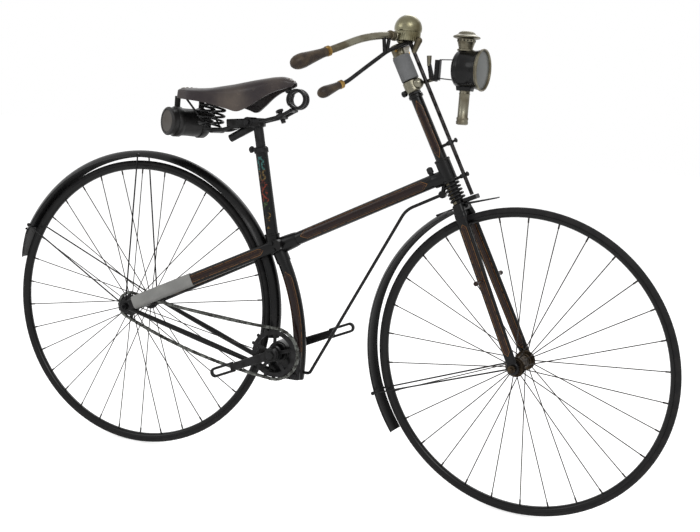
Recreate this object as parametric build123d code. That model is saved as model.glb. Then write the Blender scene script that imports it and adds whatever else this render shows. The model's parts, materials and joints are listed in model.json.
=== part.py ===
"""Antique safety bicycle with a cross frame, a spring below the head, a chain drive, a candle lamp, a bell
and a tool bag. Millimetres. X points ahead, Y to the rider's left and Z up. It is drawn with its zero on
the ground below the rear hub, and saved with its zero on top of the saddle, where the rider sits."""

import os
from math import cos, pi, radians, sin

from build123d import *

# Wheels
rear_wheel_radius = 381.0
front_wheel_radius = 372.0
wheelbase = 1032.0
tyre_radius = 9.5
rim_half_width = 10.5
rim_depth = 24.0
spoke_radius = 1.1
rear_spokes = 36
front_spokes = 32
hub_barrel_radius = 15.0
hub_flange_radius = 24.0
hub_flange_thickness = 4.0
rear_flange_offset = 47.0
front_flange_offset = 36.0
axle_radius = 5.0
axle_overhang = 9.0
nut_radius = 9.0
nut_thickness = 8.0

# Chain and cranks
chain_pitch = 25.4
chainring_teeth = 16
sprocket_teeth = 8
chain_offset = 56.0
chain_height = 11.0
chain_width = 6.0
sprocket_thickness = 3.5
crank_centre_x = 421.0
crank_centre_z = 313.0
crank_axle_radius = 8.0
crank_offset = 76.0
crank_thickness = 10.0
crank_length = 166.0
crank_slot_start = 104.0
crank_slot_width = 9.0
crank_wall = 5.5
crank_angle = 205.5
bracket_radius = 25.0
bracket_length = 76.0

# Frame
head_angle = 26.5
fork_offset = 6.0
backbone_radius = 16.5
lug_radius = 22.0
crossing_start = 428.0
crossing_end = 492.0
backbone_end = 878.0
seat_tube_radius = 15.5
seat_tube_foot_x = 366.0
seat_tube_foot_z = 606.0
seat_tube_top_x = 318.0
seat_tube_top_z = 806.0
lower_tube_radius = 16.5
lower_tube_top_x = 400.0
lower_tube_top_z = 552.0
lower_tube_middle_x = 449.0
lower_tube_middle_z = 435.0
lower_tube_foot_x = 480.0
lower_tube_foot_z = 246.0
blade_height = 31.0
blade_width = 15.0
blade_front_offset = 33.0
fork_end_offset = 80.0
fork_end_radius = 17.0
stay_radius = 6.5
tie_rod_radius = 4.0
guard_gap = 26.0
guard_half_width = 21.0
guard_thickness = 1.6
guard_rise = 9.0
guard_stay_radius = 2.0

# Steering, measured along the steering axis from the backbone and ahead of it
steering_rest_angle = -8.7
head_tube_radius = 14.5
head_tube_top = 212.0
head_tube_foot = -9.0
steerer_radius = 11.0
head_spring_radius = 18.0
crown_top = -62.0
crown_foot = -84.0
front_blade_width = 13.0
front_blade_depth = 27.0
front_blade_top_offset = 28.0
front_blade_foot_offset = 51.0
bar_radius = 8.8
bar_height = 350.0
bar_ahead = 12.0
lamp_centre_up = 226.0
lamp_centre_ahead = 130.0
lamp_side = 10.0
lamp_radius = 46.0
bell_radius = 32.0

# Saddle
saddle_x = 170.0
saddle_top = 966.0
saddle_thickness = 5.0
bag_radius = 37.0
bag_length = 100.0
bag_turn = 29.0

# Clearances
seat_gap = 0.15
running_gap = 0.3
bearing_gap = 0.05

rear_hub = Vector(0, 0, rear_wheel_radius)
front_hub = Vector(wheelbase, 0, front_wheel_radius)
crank_centre = Vector(crank_centre_x, 0, crank_centre_z)
axis_up = Vector(-sin(radians(head_angle)), 0, cos(radians(head_angle)))
axis_ahead = Vector(cos(radians(head_angle)), 0, sin(radians(head_angle)))
sideways = Vector(0, 1, 0)
backbone_way = axis_ahead
lamp_ahead = Vector(1, 0, 0)

# The backbone's line leaves the rear hub at a right angle to the steering axis and meets it at head_point
hub_line = front_hub - axis_ahead * fork_offset
head_distance = (hub_line - rear_hub).dot(axis_ahead)
head_point = rear_hub + backbone_way * head_distance
steering_axis = Axis(head_point, axis_up)
saddle_point = Vector(saddle_x, 0, saddle_top)

os.makedirs("parts", exist_ok=True)


def save(name, shape, steered=False):
    """Write one piece, turned with the steering if it is part of it, from the zero on the saddle."""
    solids = []
    for solid in shape.solids():
        if steered:
            solid = solid.rotate(steering_axis, steering_rest_angle)
        solids.append(solid.moved(Location(saddle_point * -1)))
    whole = solids[0] if len(solids) == 1 else Compound(children=solids)
    export_step(whole, f"parts/{name}.step")


def on_backbone(distance, side=0.0, rise=0.0):
    """A point on the line from the rear hub to the head."""
    return rear_hub + backbone_way * distance + sideways * side + axis_up * rise


def steered_at(up, ahead=0.0, side=0.0):
    """A point placed along the steering axis from the backbone, ahead of the axis and to its left."""
    return head_point + axis_up * up + axis_ahead * ahead + sideways * side


def rod(start, end, radius, end_radius=None):
    """A round bar between two points, tapered if it has an end radius."""
    way = end - start
    seat = Plane(origin=start, z_dir=way)
    if end_radius is None or end_radius == radius:
        return Solid.make_cylinder(radius, way.length, seat)
    return Solid.make_cone(radius, end_radius, way.length, seat)


def pipe(start, end, radius, bore):
    """A round tube between two points."""
    return rod(start, end, radius) - rod(start, end, bore)


def flat_bar(start, end, deep, wide, across=sideways):
    """A bar of rounded section, wide along the direction named across."""
    way = (end - start).normalized()
    seat = Plane(origin=start, x_dir=across.cross(way), z_dir=way)
    section = SlotOverall(deep, wide) if deep > wide else Rot(Z=90) * SlotOverall(wide, deep)
    return extrude(seat * section, (end - start).length)


def bent_rod(points, bends, radius):
    """A round bar along straight runs joined by arcs."""
    path = FilletPolyline(*points, radius=bends)
    start = Plane(origin=path @ 0, z_dir=path % 0)
    return sweep(start * Circle(radius), path=path)


def disc(centre, radius, half_thickness):
    """A disc on a cross axis."""
    return rod(centre - sideways * half_thickness, centre + sideways * half_thickness, radius)


def ring(centre, radius, bore, half_thickness):
    return disc(centre, radius, half_thickness) - disc(centre, bore, half_thickness)


def around(centre, radius, angle, side=0.0):
    """A point at an angle above the line ahead of a wheel's centre."""
    turn = radians(angle)
    return centre + Vector(radius * cos(turn), side, radius * sin(turn))


# Wheels
def make_tyre(centre, radius):
    return Solid.make_torus(radius - tyre_radius, tyre_radius, Plane(origin=centre, z_dir=sideways))


def make_rim(centre, radius):
    """A crescent rim: an outer arc below the tyre and an inner arc that seats it."""
    edge = radius - tyre_radius
    seat_radius = tyre_radius + seat_gap
    inner_rise = (seat_radius**2 - (rim_half_width - 1.5) ** 2) ** 0.5
    lip = centre + Vector(edge - inner_rise, 0, 0)
    foot = centre + Vector(radius - rim_depth, 0, 0)
    seat_foot = centre + Vector(edge - seat_radius, 0, 0)
    left, right = sideways * rim_half_width, sideways * -rim_half_width
    left_in, right_in = sideways * (rim_half_width - 1.5), sideways * (1.5 - rim_half_width)
    outline = Curve() + [
        ThreePointArc(lip + left, foot, lip + right),
        Line(lip + right, lip + right_in),
        ThreePointArc(lip + right_in, seat_foot, lip + left_in),
        Line(lip + left_in, lip + left),
    ]
    return revolve(make_face(outline), Axis(centre, sideways), 360)


def make_spokes(centre, radius, count, flange_offset):
    spokes = []
    tips = radius - rim_depth - seat_gap
    roots = hub_flange_radius + seat_gap
    for number in range(count):
        side = 1 if number % 2 else -1
        angle = 360 * (number + 0.5) / count
        root = around(centre, roots, angle, side * flange_offset)
        tip = around(centre, tips, angle, side * 1.5)
        spokes.append(rod(root, tip, spoke_radius))
    return Compound(children=spokes)


def make_hub(centre, flange_offset, half_length):
    """A spool bored for its axle."""
    body = disc(centre, hub_barrel_radius, half_length)
    for side in (-1, 1):
        body += disc(centre + sideways * side * flange_offset, hub_flange_radius, hub_flange_thickness / 2)
    return body - disc(centre, axle_radius + bearing_gap, half_length + 1)


hub_end_gap = 2.5
rear_hub_half = fork_end_offset - blade_width / 2 - hub_end_gap
front_hub_half = front_blade_foot_offset - front_blade_width / 2 - hub_end_gap
ring_pitch_radius = chain_pitch / (2 * sin(pi / chainring_teeth))
sprocket_pitch_radius = chain_pitch / (2 * sin(pi / sprocket_teeth))
ring_radius = ring_pitch_radius - chain_height / 2 - running_gap
sprocket_radius = sprocket_pitch_radius - chain_height / 2 - running_gap

save("rear_tyre", make_tyre(rear_hub, rear_wheel_radius))
save("rear_rim", make_rim(rear_hub, rear_wheel_radius))
save("rear_spokes", make_spokes(rear_hub, rear_wheel_radius, rear_spokes, rear_flange_offset))
sprocket = disc(rear_hub - sideways * chain_offset, sprocket_radius, sprocket_thickness / 2)
rear_hub_body = make_hub(rear_hub, rear_flange_offset, rear_hub_half) + (
    sprocket - disc(rear_hub, axle_radius + bearing_gap, rear_hub_half)
)
save("rear_hub", rear_hub_body)

save("front_tyre", make_tyre(front_hub, front_wheel_radius), True)
save("front_rim", make_rim(front_hub, front_wheel_radius), True)
save("front_spokes", make_spokes(front_hub, front_wheel_radius, front_spokes, front_flange_offset), True)
save("front_hub", make_hub(front_hub, front_flange_offset, front_hub_half), True)


# Axles with their nuts
def make_axle(centre, blade_offset, width):
    end = blade_offset + width / 2 + seat_gap + nut_thickness + axle_overhang
    axle = disc(centre, axle_radius, end)
    for side in (-1, 1):
        near = centre + sideways * side * (blade_offset + width / 2 + seat_gap)
        axle += rod(near, near + sideways * side * nut_thickness, nut_radius)
    return axle


save("rear_axle", make_axle(rear_hub, fork_end_offset, blade_width))
save("front_axle", make_axle(front_hub, front_blade_foot_offset, front_blade_width), True)

# Backbone, with the lug where the frame's tubes cross
seat_tube_foot = Vector(seat_tube_foot_x, 0, seat_tube_foot_z)
seat_tube_top = Vector(seat_tube_top_x, 0, seat_tube_top_z)
seat_way = (seat_tube_top - seat_tube_foot).normalized()
lower_top = Vector(lower_tube_top_x, 0, lower_tube_top_z)
lower_middle = Vector(lower_tube_middle_x, 0, lower_tube_middle_z)
lower_foot = Vector(lower_tube_foot_x, 0, lower_tube_foot_z)
lower_path = ThreePointArc(lower_top, lower_middle, lower_foot)
lower_way = lower_path % 0

save("backbone", rod(on_backbone(crossing_end), on_backbone(backbone_end), backbone_radius))

crossing_middle = on_backbone((crossing_start + crossing_end) / 2)
lug = rod(on_backbone(crossing_start + 4), on_backbone(crossing_end), lug_radius, backbone_radius + 2)
lug += rod(seat_tube_foot - seat_way * 30, seat_tube_foot, lug_radius - 3)
lug += rod(lower_top - lower_way * 26, lower_top, lug_radius - 3)
yoke_half = blade_front_offset + blade_width / 2
yoke_centre = on_backbone(crossing_start + blade_height / 2)
lug += disc(yoke_centre, blade_height / 2, yoke_half)
lug -= rod(on_backbone(crossing_start - 60), on_backbone(crossing_start), 60)
save("crossing_lug", lug)

save("seat_tube", rod(seat_tube_foot, seat_tube_top, seat_tube_radius))
lower_section = Plane(origin=lower_top, z_dir=lower_way) * Circle(lower_tube_radius)
save("lower_tube", sweep(lower_section, path=lower_path))


# Rear fork: a straight blade each side, from the yoke to an eye on the axle
def make_blade(side):
    front = on_backbone(crossing_start, side * blade_front_offset)
    back = on_backbone(fork_end_radius * 0.7, side * fork_end_offset)
    eye = rear_hub + sideways * side * fork_end_offset
    blade = flat_bar(back, front + (back - front).normalized() * -3, blade_height, blade_width)
    blade -= rod(on_backbone(crossing_start), on_backbone(crossing_start + 60), 90)
    blade += disc(eye, fork_end_radius, blade_width / 2)
    return blade - disc(eye, axle_radius + seat_gap, blade_width)


save("rear_blades", Compound(children=[make_blade(1), make_blade(-1)]))

# A plain grey sleeve on the right blade
blade_front = on_backbone(crossing_start, -blade_front_offset)
blade_back = on_backbone(fork_end_radius * 0.7, -fork_end_offset)
blade_way = (blade_front - blade_back).normalized()
sleeve_start = blade_back + blade_way * 14
sleeve_end = blade_back + blade_way * 190
sleeve_wall = 2.0
sleeve = flat_bar(sleeve_start, sleeve_end, blade_height + 2 * sleeve_wall, blade_width + 2 * sleeve_wall)
sleeve -= flat_bar(sleeve_start, sleeve_end, blade_height + 2 * seat_gap, blade_width + 2 * seat_gap)
sleeve -= disc(rear_hub - sideways * fork_end_offset, fork_end_radius + seat_gap, blade_width)
save("rear_blade_sleeve", sleeve)

# Bottom bracket, with the foot of the lower tube in it
bracket = disc(crank_centre, bracket_radius, bracket_length / 2)
arm_height = 70.0
arm_depth = 42.0
arm_width = 38.0
arm_centre = Vector(lower_foot.X - arm_depth / 2, 0, lower_foot.Z + arm_height / 2 - 4)
arm = Pos(arm_centre) * Box(arm_depth + 26, arm_width, arm_height)
bracket += fillet(arm.edges().filter_by(Axis.Z), 6)
tube_hole = sweep(
    Plane(origin=lower_top, z_dir=lower_way) * Circle(lower_tube_radius + seat_gap), path=lower_path
)
bracket -= tube_hole
bracket -= disc(crank_centre, crank_axle_radius + bearing_gap, bracket_length)
save("bottom_bracket", bracket)


# Lower stays, from the bracket to the rear axle
def make_stay(side):
    stay_end = stay_radius - 1.5
    drop = radians(-60)
    reach = fork_end_radius + stay_end + seat_gap
    front = crank_centre + Vector(-bracket_radius, side * 26, -4)
    back = rear_hub + Vector(reach * cos(drop), side * fork_end_offset, reach * sin(drop))
    middle = (front + back) * 0.5
    stay = rod(front, middle, stay_end, stay_radius)
    stay += rod(middle, back, stay_radius, stay_end)
    stay += Pos(back) * Sphere(stay_end)
    return stay - disc(crank_centre, bracket_radius + seat_gap, bracket_length)


save("lower_stays", Compound(children=[make_stay(1), make_stay(-1)]))

# Chain: one closed loop round the two sprockets
chain_centre = -chain_offset
ring_centre = crank_centre + sideways * chain_centre
sprocket_centre = rear_hub + sideways * chain_centre


def loop_face(grow):
    """The area inside the chain's line, grown or shrunk, in the chain's own plane."""
    span = ring_centre - sprocket_centre
    length = span.length
    big, small = ring_pitch_radius + grow, sprocket_pitch_radius + grow
    lean = (ring_pitch_radius - sprocket_pitch_radius) / length
    rise = (1 - lean**2) ** 0.5
    along = span.normalized()
    over = along.cross(sideways)
    if over.Z < 0:
        over = over * -1
    marks = {}
    for name, centre, radius in (("small", sprocket_centre, small), ("big", ring_centre, big)):
        for side in (1, -1):
            marks[name, side] = centre + (along * -lean + over * side * rise) * radius
    outline = Curve() + [
        Line(marks["small", 1], marks["big", 1]),
        ThreePointArc(marks["big", 1], ring_centre + along * big, marks["big", -1]),
        Line(marks["big", -1], marks["small", -1]),
        ThreePointArc(marks["small", -1], sprocket_centre - along * small, marks["small", 1]),
    ]
    return make_face(outline)


chain = extrude(loop_face(chain_height / 2), chain_width / 2, both=True, dir=(0, 1, 0))
chain -= extrude(loop_face(-chain_height / 2), chain_width, both=True, dir=(0, 1, 0))
save("chain", chain)

# Crank axle with its slotted cranks, and the chainring
crank_way = Vector(cos(radians(crank_angle)), 0, sin(radians(crank_angle)))


def make_crank(side):
    way = crank_way if side < 0 else crank_way * -1
    centre = crank_centre + sideways * side * crank_offset
    slot_end = crank_length - crank_wall
    deep = crank_slot_width + 2 * crank_wall
    crank = disc(centre, 16, crank_thickness / 2 + 2)
    seat = Plane(origin=centre - sideways * crank_thickness / 2, x_dir=way, z_dir=sideways)
    arm_outline = Pos(crank_length / 2 - deep / 4, 0) * SlotOverall(crank_length + deep / 2, deep)
    hole_outline = Pos((crank_slot_start + slot_end) / 2, 0) * SlotOverall(
        slot_end - crank_slot_start, crank_slot_width
    )
    crank += extrude(seat * (arm_outline - hole_outline), crank_thickness)
    return crank - disc(crank_centre, crank_axle_radius + seat_gap, 200)


crank_end = crank_offset + crank_thickness / 2 + 5
save("cranks", Compound(children=[make_crank(1), make_crank(-1)]))
save("crank_axle", disc(crank_centre, crank_axle_radius, crank_end))

ring_arms = 5
chainring = ring(ring_centre, ring_radius, ring_radius - 11, sprocket_thickness / 2)
chainring += ring(ring_centre, 20, crank_axle_radius + seat_gap, sprocket_thickness / 2 + 3)
for number in range(ring_arms):
    turn = 360 * number / ring_arms + 18
    inner = around(ring_centre, 18, turn)
    outer = around(ring_centre, ring_radius - 8, turn)
    chainring += flat_bar(inner, outer, 9, sprocket_thickness)
save("chainring", chainring)


# Mudguards
def make_guard(centre, wheel_radius, start_angle, end_angle):
    """An arched strip carried round part of the wheel, from the end angle back to the start angle."""
    crown = wheel_radius + guard_gap
    top = centre + Vector(crown, 0, 0)
    left = centre + Vector(crown - guard_rise, guard_half_width, 0)
    right = centre + Vector(crown - guard_rise, -guard_half_width, 0)
    inner_top = top - Vector(guard_thickness, 0, 0)
    inner_left = left - Vector(0, guard_thickness, 0)
    inner_right = right + Vector(0, guard_thickness, 0)
    outline = Curve() + [
        ThreePointArc(left, top, right),
        Line(right, inner_right),
        ThreePointArc(inner_right, inner_top, inner_left),
        Line(inner_left, left),
    ]
    wheel_axis = Axis(centre, Vector(0, -1, 0))
    strip = revolve(make_face(outline), wheel_axis, end_angle - start_angle)
    return strip.rotate(wheel_axis, start_angle)


rear_guard_angles = (-5.5, 158.0)
front_guard_angles = (122.5, 216.0)
save("rear_guard", make_guard(rear_hub, rear_wheel_radius, *rear_guard_angles))
save("front_guard", make_guard(front_hub, front_wheel_radius, *front_guard_angles), True)

# Flap at the tail of the rear guard
flap_top = around(rear_hub, rear_wheel_radius + guard_gap - 2, 156)
flap_foot = around(rear_hub, rear_wheel_radius + guard_gap + 8, 168.5)
flap_way = (flap_foot - flap_top).normalized()
flap_centre = (flap_top + flap_foot) * 0.5 + flap_way.cross(sideways) * -3.2
flap = Plane(origin=flap_centre, x_dir=flap_way, z_dir=flap_way.cross(sideways)) * Box(
    (flap_foot - flap_top).length, 2 * guard_half_width + 6, 2.4
)
save("mud_flap", flap)


def make_guard_stays(hub, crown, angle, end_offset, reach):
    """A thin rod each side, from a guard's edge to an axle end."""
    stays = []
    for side in (-1, 1):
        tip = around(hub, crown - guard_rise - running_gap, angle, side * (guard_half_width - 4))
        root = hub + sideways * side * end_offset + (tip - hub).normalized() * reach
        root = Vector(root.X, hub.Y + side * end_offset, root.Z)
        stays.append(rod(root, tip, guard_stay_radius))
    return Compound(children=stays)


rear_crown = rear_wheel_radius + guard_gap
front_crown = front_wheel_radius + guard_gap
stay_offset = fork_end_offset
stay_reach = fork_end_radius + running_gap
top_stays = make_guard_stays(rear_hub, rear_crown, 91, stay_offset, stay_reach)
back_stays = make_guard_stays(rear_hub, rear_crown, 154, stay_offset, stay_reach)
save("rear_guard_stays", Compound(children=[*top_stays.solids(), *back_stays.solids()]))
save(
    "front_guard_stays",
    make_guard_stays(front_hub, front_crown, 199, front_blade_foot_offset, 18),
    True,
)

# Tie rod, from below the head to the foot of the lower tube
tie_eye_up = -24.0
tie_eye_ahead = -27.0
tie_start = steered_at(tie_eye_up, tie_eye_ahead)
tie_bend = Vector(717, 0, 706)
tie_end = Vector(lower_foot.X + lower_tube_radius + 14, 0, lower_foot.Z + 18)
tie_foot = Vector(lower_foot.X + lower_tube_radius + seat_gap, 0, tie_end.Z)
save("tie_rod", bent_rod([tie_start, tie_bend, tie_end, tie_foot], [24, 7], tie_rod_radius))

# Head tube and its lug
head_tube = rod(steered_at(head_tube_foot), steered_at(head_tube_top), head_tube_radius)
headset_top = head_tube_top + 15
head_tube += rod(steered_at(head_tube_top), steered_at(head_tube_top + 8), 18)
head_tube += rod(steered_at(head_tube_top + 8), steered_at(headset_top), 16)
head_tube -= rod(steered_at(head_tube_foot), steered_at(headset_top), steerer_radius + bearing_gap)
save("head_tube", head_tube)

lug_outer = head_tube_radius + 4
head_lug = rod(steered_at(-9), steered_at(40), lug_outer)
neck_start = on_backbone(backbone_end)
head_lug += rod(neck_start, head_point, backbone_radius, head_tube_radius - 1)
head_lug += disc(tie_start, 5, 7)
head_lug += rod(steered_at(-6, tie_eye_ahead), tie_start, 4.5)
head_lug += rod(on_backbone(backbone_end + 8), on_backbone(backbone_end + 8, 0, 30), 6)
head_lug -= rod(steered_at(-60), steered_at(80), head_tube_radius + seat_gap)
head_lug -= rod(steered_at(-60), steered_at(head_tube_foot), head_spring_radius + 2.5)
head_lug -= bent_rod([tie_start, tie_bend, tie_end, tie_foot], [24, 7], tie_rod_radius + seat_gap)
save("head_lug", head_lug)

# Steerer, spring and fork crown
clamp_foot = headset_top + running_gap
steerer_top = bar_height - bar_radius - seat_gap
save("steerer", rod(steered_at(crown_top), steered_at(steerer_top), steerer_radius), True)
spring_foot = crown_top + running_gap
spring_top = head_tube_foot - running_gap
spring = pipe(steered_at(spring_foot), steered_at(spring_top), head_spring_radius, steerer_radius + 1)
save("head_spring", spring, True)

crown = rod(steered_at(crown_foot), steered_at(crown_top), 19)
for side in (-1, 1):
    shoulder = steered_at(crown_foot - 12, 0, side * front_blade_top_offset)
    crown += flat_bar(shoulder, steered_at(crown_top - 4, 0, side * (front_blade_top_offset - 8)), 30, 17)
crown += rod(steered_at(crown_foot + 8, 0, -26), steered_at(crown_foot + 8, 0, 26), 10)
crown -= rod(steered_at(crown_foot - 50), steered_at(crown_foot - 12), 90)
crown -= disc(front_hub, front_wheel_radius + 8, front_blade_top_offset - front_blade_width / 2)
clip_tip = around(front_hub, front_wheel_radius + guard_gap + 2 + seat_gap, front_guard_angles[0] + 3)
clip_tip += (clip_tip - front_hub).normalized() * 0.4
crown += flat_bar(steered_at(crown_top - 6, -15), clip_tip, 4, 16)
save("fork_crown", crown, True)


def make_fork_blade(side):
    top = steered_at(crown_foot - 10, 0, side * front_blade_top_offset)
    eye = front_hub + sideways * side * front_blade_foot_offset
    foot = eye + (top - eye).normalized() * 10
    blade = flat_bar(foot, top, front_blade_depth, front_blade_width)
    blade += disc(eye, 15, front_blade_width / 2)
    peg = steered_at(-248, 6, side * 42)
    blade += rod(peg, peg + axis_ahead * -30 * side + sideways * side * 18, 4)
    blade -= rod(steered_at(crown_foot - 12 - seat_gap), steered_at(crown_top), 90)
    return blade - disc(eye, axle_radius + seat_gap, front_blade_width)


save("fork_blades", Compound(children=[make_fork_blade(1), make_fork_blade(-1)]), True)

# Stem: lamp clamp, grey sleeve and nickel top
bore = steerer_radius + seat_gap
lamp_clamp = pipe(steered_at(clamp_foot), steered_at(clamp_foot + 30), 20, bore)
sleeve_foot = clamp_foot + 30 + seat_gap
sleeve_top = sleeve_foot + 62
save("stem_sleeve", pipe(steered_at(sleeve_foot), steered_at(sleeve_top), 19, bore), True)


# Handlebar with pear grips
def mirrored(points, side):
    return [Vector(point.X, point.Y * side, point.Z) for point in points]


bar_centre = steered_at(bar_height, bar_ahead)
bar_bends = [60, 80, 40]
grip_end = bar_centre + Vector(-128, -296, -53)
bar_turn = bar_centre + Vector(-76, -186, -16)
grip_way = (grip_end - bar_turn).normalized()
bar_points = [
    bar_centre,
    bar_centre + Vector(-8, -60, 12),
    bar_centre + Vector(-42, -120, 8),
    bar_turn,
    bar_turn + grip_way * 22,
]
halves = [bent_rod(mirrored(bar_points, side), bar_bends, bar_radius) for side in (1, -1)]
bar = halves[0] + halves[1]
bar += Pos(bar_centre) * Sphere(bar_radius + 5)
bar += rod(steered_at(sleeve_top + seat_gap), steered_at(steerer_top + 6), 14)
bar -= rod(steered_at(0), steered_at(steerer_top), bore)


def make_grip(start, end, small, large):
    """A pear shape that swells from its ferrule to its round end."""
    way = (end - start).normalized()
    length = (end - start).length
    seat = Plane(origin=start, x_dir=sideways.cross(way), z_dir=way)
    swell = length - large
    profile = [(0, 0), (small, 0), (small, length * 0.18), (large, swell), (large * 0.82, length - large * 0.3)]
    profile += [(large * 0.45, length), (0, length)]
    outline = [seat.from_local_coords(Vector(radius, 0, along)) for radius, along in profile]
    return revolve(make_face(Polyline(*outline, close=True)), Axis(start, way), 360)


grips = []
for side in (1, -1):
    start, end = mirrored([bar_points[-1], grip_end], side)
    way = (end - start).normalized()
    grips.append(make_grip(start + way * running_gap, end, 11, 16))

# Brake: lever with its grip, plunger rod and spoon
rod_top = steered_at(344, 34, 0)
rod_foot = steered_at(-52, 42, 0)
save("brake_rod", rod(rod_foot, rod_top, 4.8), True)
lever_radius = 4.8
lever_grip_end = bar_centre + Vector(-79, -256, -122)
lever_turn = bar_centre + Vector(-51, -175, -93)
lever_way = (lever_grip_end - lever_turn).normalized()
lever_points = [
    rod_top + Vector(-2, -6, -2),
    bar_centre + Vector(-9, -58, -20),
    bar_centre + Vector(-29, -128, -58),
    lever_turn,
    lever_turn + lever_way * 16,
]
lever_bends = [40, 60, 30]
save("brake_lever", bent_rod(lever_points, lever_bends, lever_radius), True)
grips.append(make_grip(lever_points[-1] + lever_way * running_gap, lever_grip_end, 9, 13))
save("grips", Compound(children=grips), True)
lever_pivot = bar_centre + Vector(-11, -66, -24)
bar_above = bar_centre + Vector(-11, -66, 10)
bar += rod(lever_pivot, bar_above, 7)
bar -= bent_rod(lever_points, lever_bends, lever_radius + seat_gap)
save("handlebar", bar, True)
spoon = flat_bar(steered_at(-58, 19.5), steered_at(-60, 54), 12, 26)
spoon += flat_bar(steered_at(-65, 24), steered_at(-80, 100), 5, 34)
spoon -= rod(rod_foot, rod_top, lever_radius + seat_gap)
save("brake_spoon", spoon, True)

# Bell on the left of the stem
up = Vector(0, 0, 1)
bell_centre = bar_centre + Vector(2, 36, 43)
bell_base = bell_centre - up * 16
bell = Pos(bell_centre) * Sphere(bell_radius)
bell -= rod(bell_base - up * 40, bell_base, bell_radius + 5)
bell += rod(bell_base - up * 12, bell_base, bell_radius - 6)
bell += rod(bell_base - up * 24, bell_base, 11)
bell -= bent_rod(mirrored(bar_points, -1), bar_bends, bar_radius + seat_gap)
bell -= Pos(bar_centre) * Sphere(bar_radius + 5 + seat_gap)
save("bell", bell, True)

# Lamp
lamp_centre = steered_at(lamp_centre_up, lamp_centre_ahead, lamp_side)
lamp_back = lamp_centre - lamp_ahead * 31
lamp_front = lamp_centre + lamp_ahead * 31
save("lamp_body", rod(lamp_back, lamp_front, lamp_radius), True)
save("lamp_rim", rod(lamp_front, lamp_front + lamp_ahead * 30, lamp_radius + 4), True)
chimney_foot = lamp_centre + Vector(0, 0, lamp_radius + seat_gap)
chimney = rod(chimney_foot, chimney_foot + up * 30, 19)
chimney += rod(chimney_foot + up * 30, chimney_foot + up * 36, 33, 22)
chimney += rod(chimney_foot + up * 36, chimney_foot + up * 46, 22, 18)
save("lamp_chimney", chimney, True)
candle_top = lamp_centre - up * (lamp_radius + seat_gap)
candle = rod(candle_top - up * 84, candle_top, 11)
candle += rod(candle_top - up * 84, candle_top - up * 68, 13)
save("lamp_candle_tube", candle, True)

# Lamp bracket: an arm from the clamp, a socket, and two flat arms to the lamp
socket_centre = lamp_centre + lamp_ahead * -62 - up * 6
arm_start = steered_at(clamp_foot + 15, 14, lamp_side)
bracket = rod(arm_start, socket_centre - up * 20, 5)
bracket += rod(socket_centre - up * 26, socket_centre + up * 14, 9)
plate = socket_centre + Vector(12, 0, 6)
bracket += Pos(plate) * Box(10, 18, 52)
for rise in (-22, 22):
    near = plate + up * rise
    bracket += Pos(near + Vector(14, 0, 0)) * Box(34, 14, 3)
bracket -= rod(lamp_back - lamp_ahead * seat_gap, lamp_front, lamp_radius + seat_gap)
bracket += rod(socket_centre + Vector(-2, 0, 10), socket_centre + Vector(-6, 0, 36), 5, 4)
save("lamp_bracket", bracket + lamp_clamp, True)

# Seat post, collar and saddle frame
post_top = seat_tube_top + seat_way * 82
save("seat_post", rod(seat_tube_top, post_top, 12.5))
collar = rod(seat_tube_top - seat_way * 22, seat_tube_top - seat_way * 2, seat_tube_radius + 3)
collar += rod(seat_tube_top - seat_way * 12, seat_tube_top - seat_way * 12 - Vector(34, 0, 0), 5)
collar -= rod(seat_tube_foot, seat_tube_top, seat_tube_radius + seat_gap)
save("seat_collar", collar)

saddle_sections = (
    # place ahead, half width, height of the top, height of the skirt
    (90, 58, 955, 940),
    (97, 90, 958, 935),
    (150, 96, 966, 926),
    (215, 86, 975, 916),
    (275, 62, 986, 908),
    (330, 34, 1000, 950),
    (375, 24, 1005, 972),
    (402, 14, 996, 984),
)
leather_faces = []
hollow_faces = []
for place, half, top, skirt in saddle_sections:
    wall = saddle_thickness
    left, right = Vector(place, half, skirt), Vector(place, -half, skirt)
    left_in, right_in = Vector(place, half - wall, skirt), Vector(place, wall - half, skirt)
    outer_arc = ThreePointArc(left, Vector(place, 0, top), right)
    inner_arc = ThreePointArc(right_in, Vector(place, 0, top - wall), left_in)
    leather_faces.append(make_face(Curve() + [outer_arc, Line(right, right_in), inner_arc, Line(left_in, left)]))
    hollow_faces.append(make_face(Curve() + [inner_arc, Line(left_in, right_in)]))
save("saddle_leather", loft(leather_faces, ruled=True))
leather_hollow = loft(hollow_faces, ruled=True)

bag_way = Vector(sin(radians(bag_turn)), cos(radians(bag_turn)), 0)
bag_centre = Vector(95, 0, 872)
bag_half = bag_way * (bag_length / 2)
save("tool_bag", rod(bag_centre - bag_half, bag_centre + bag_half, bag_radius))

# Cantle bar below the back of the leather, and the straps that hang the bag from it
cantle_z = 934.6
cantle_radius = 5.0
cantle_points = [
    Vector(208, 56, cantle_z),
    Vector(140, 72, cantle_z),
    Vector(104, 40, cantle_z),
    Vector(104, -40, cantle_z),
    Vector(140, -72, cantle_z),
    Vector(208, -56, cantle_z),
]
cantle_bends = [40, 40, 40, 40]
cantle = bent_rod(cantle_points, cantle_bends, cantle_radius)
strap_half = 8.0
strap_thickness = 2.2
straps = []
for place in (-30, 30):
    centre = bag_centre + bag_way * place
    low, high = centre - bag_way * strap_half, centre + bag_way * strap_half
    strap = rod(low, high, bag_radius + seat_gap + strap_thickness) - rod(low, high, bag_radius + seat_gap)
    hang_foot = bag_centre.Z + bag_radius + 1.5
    hang_height = cantle_z - cantle_radius - 0.3 - hang_foot
    hanger = Plane(origin=Vector(centre.X, centre.Y, hang_foot), x_dir=bag_way, z_dir=(0, 0, 1))
    strap += extrude(hanger * Rectangle(2 * strap_half, strap_thickness + 1), hang_height)
    straps.append(strap)
save("bag_straps", Compound(children=straps))

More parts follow.
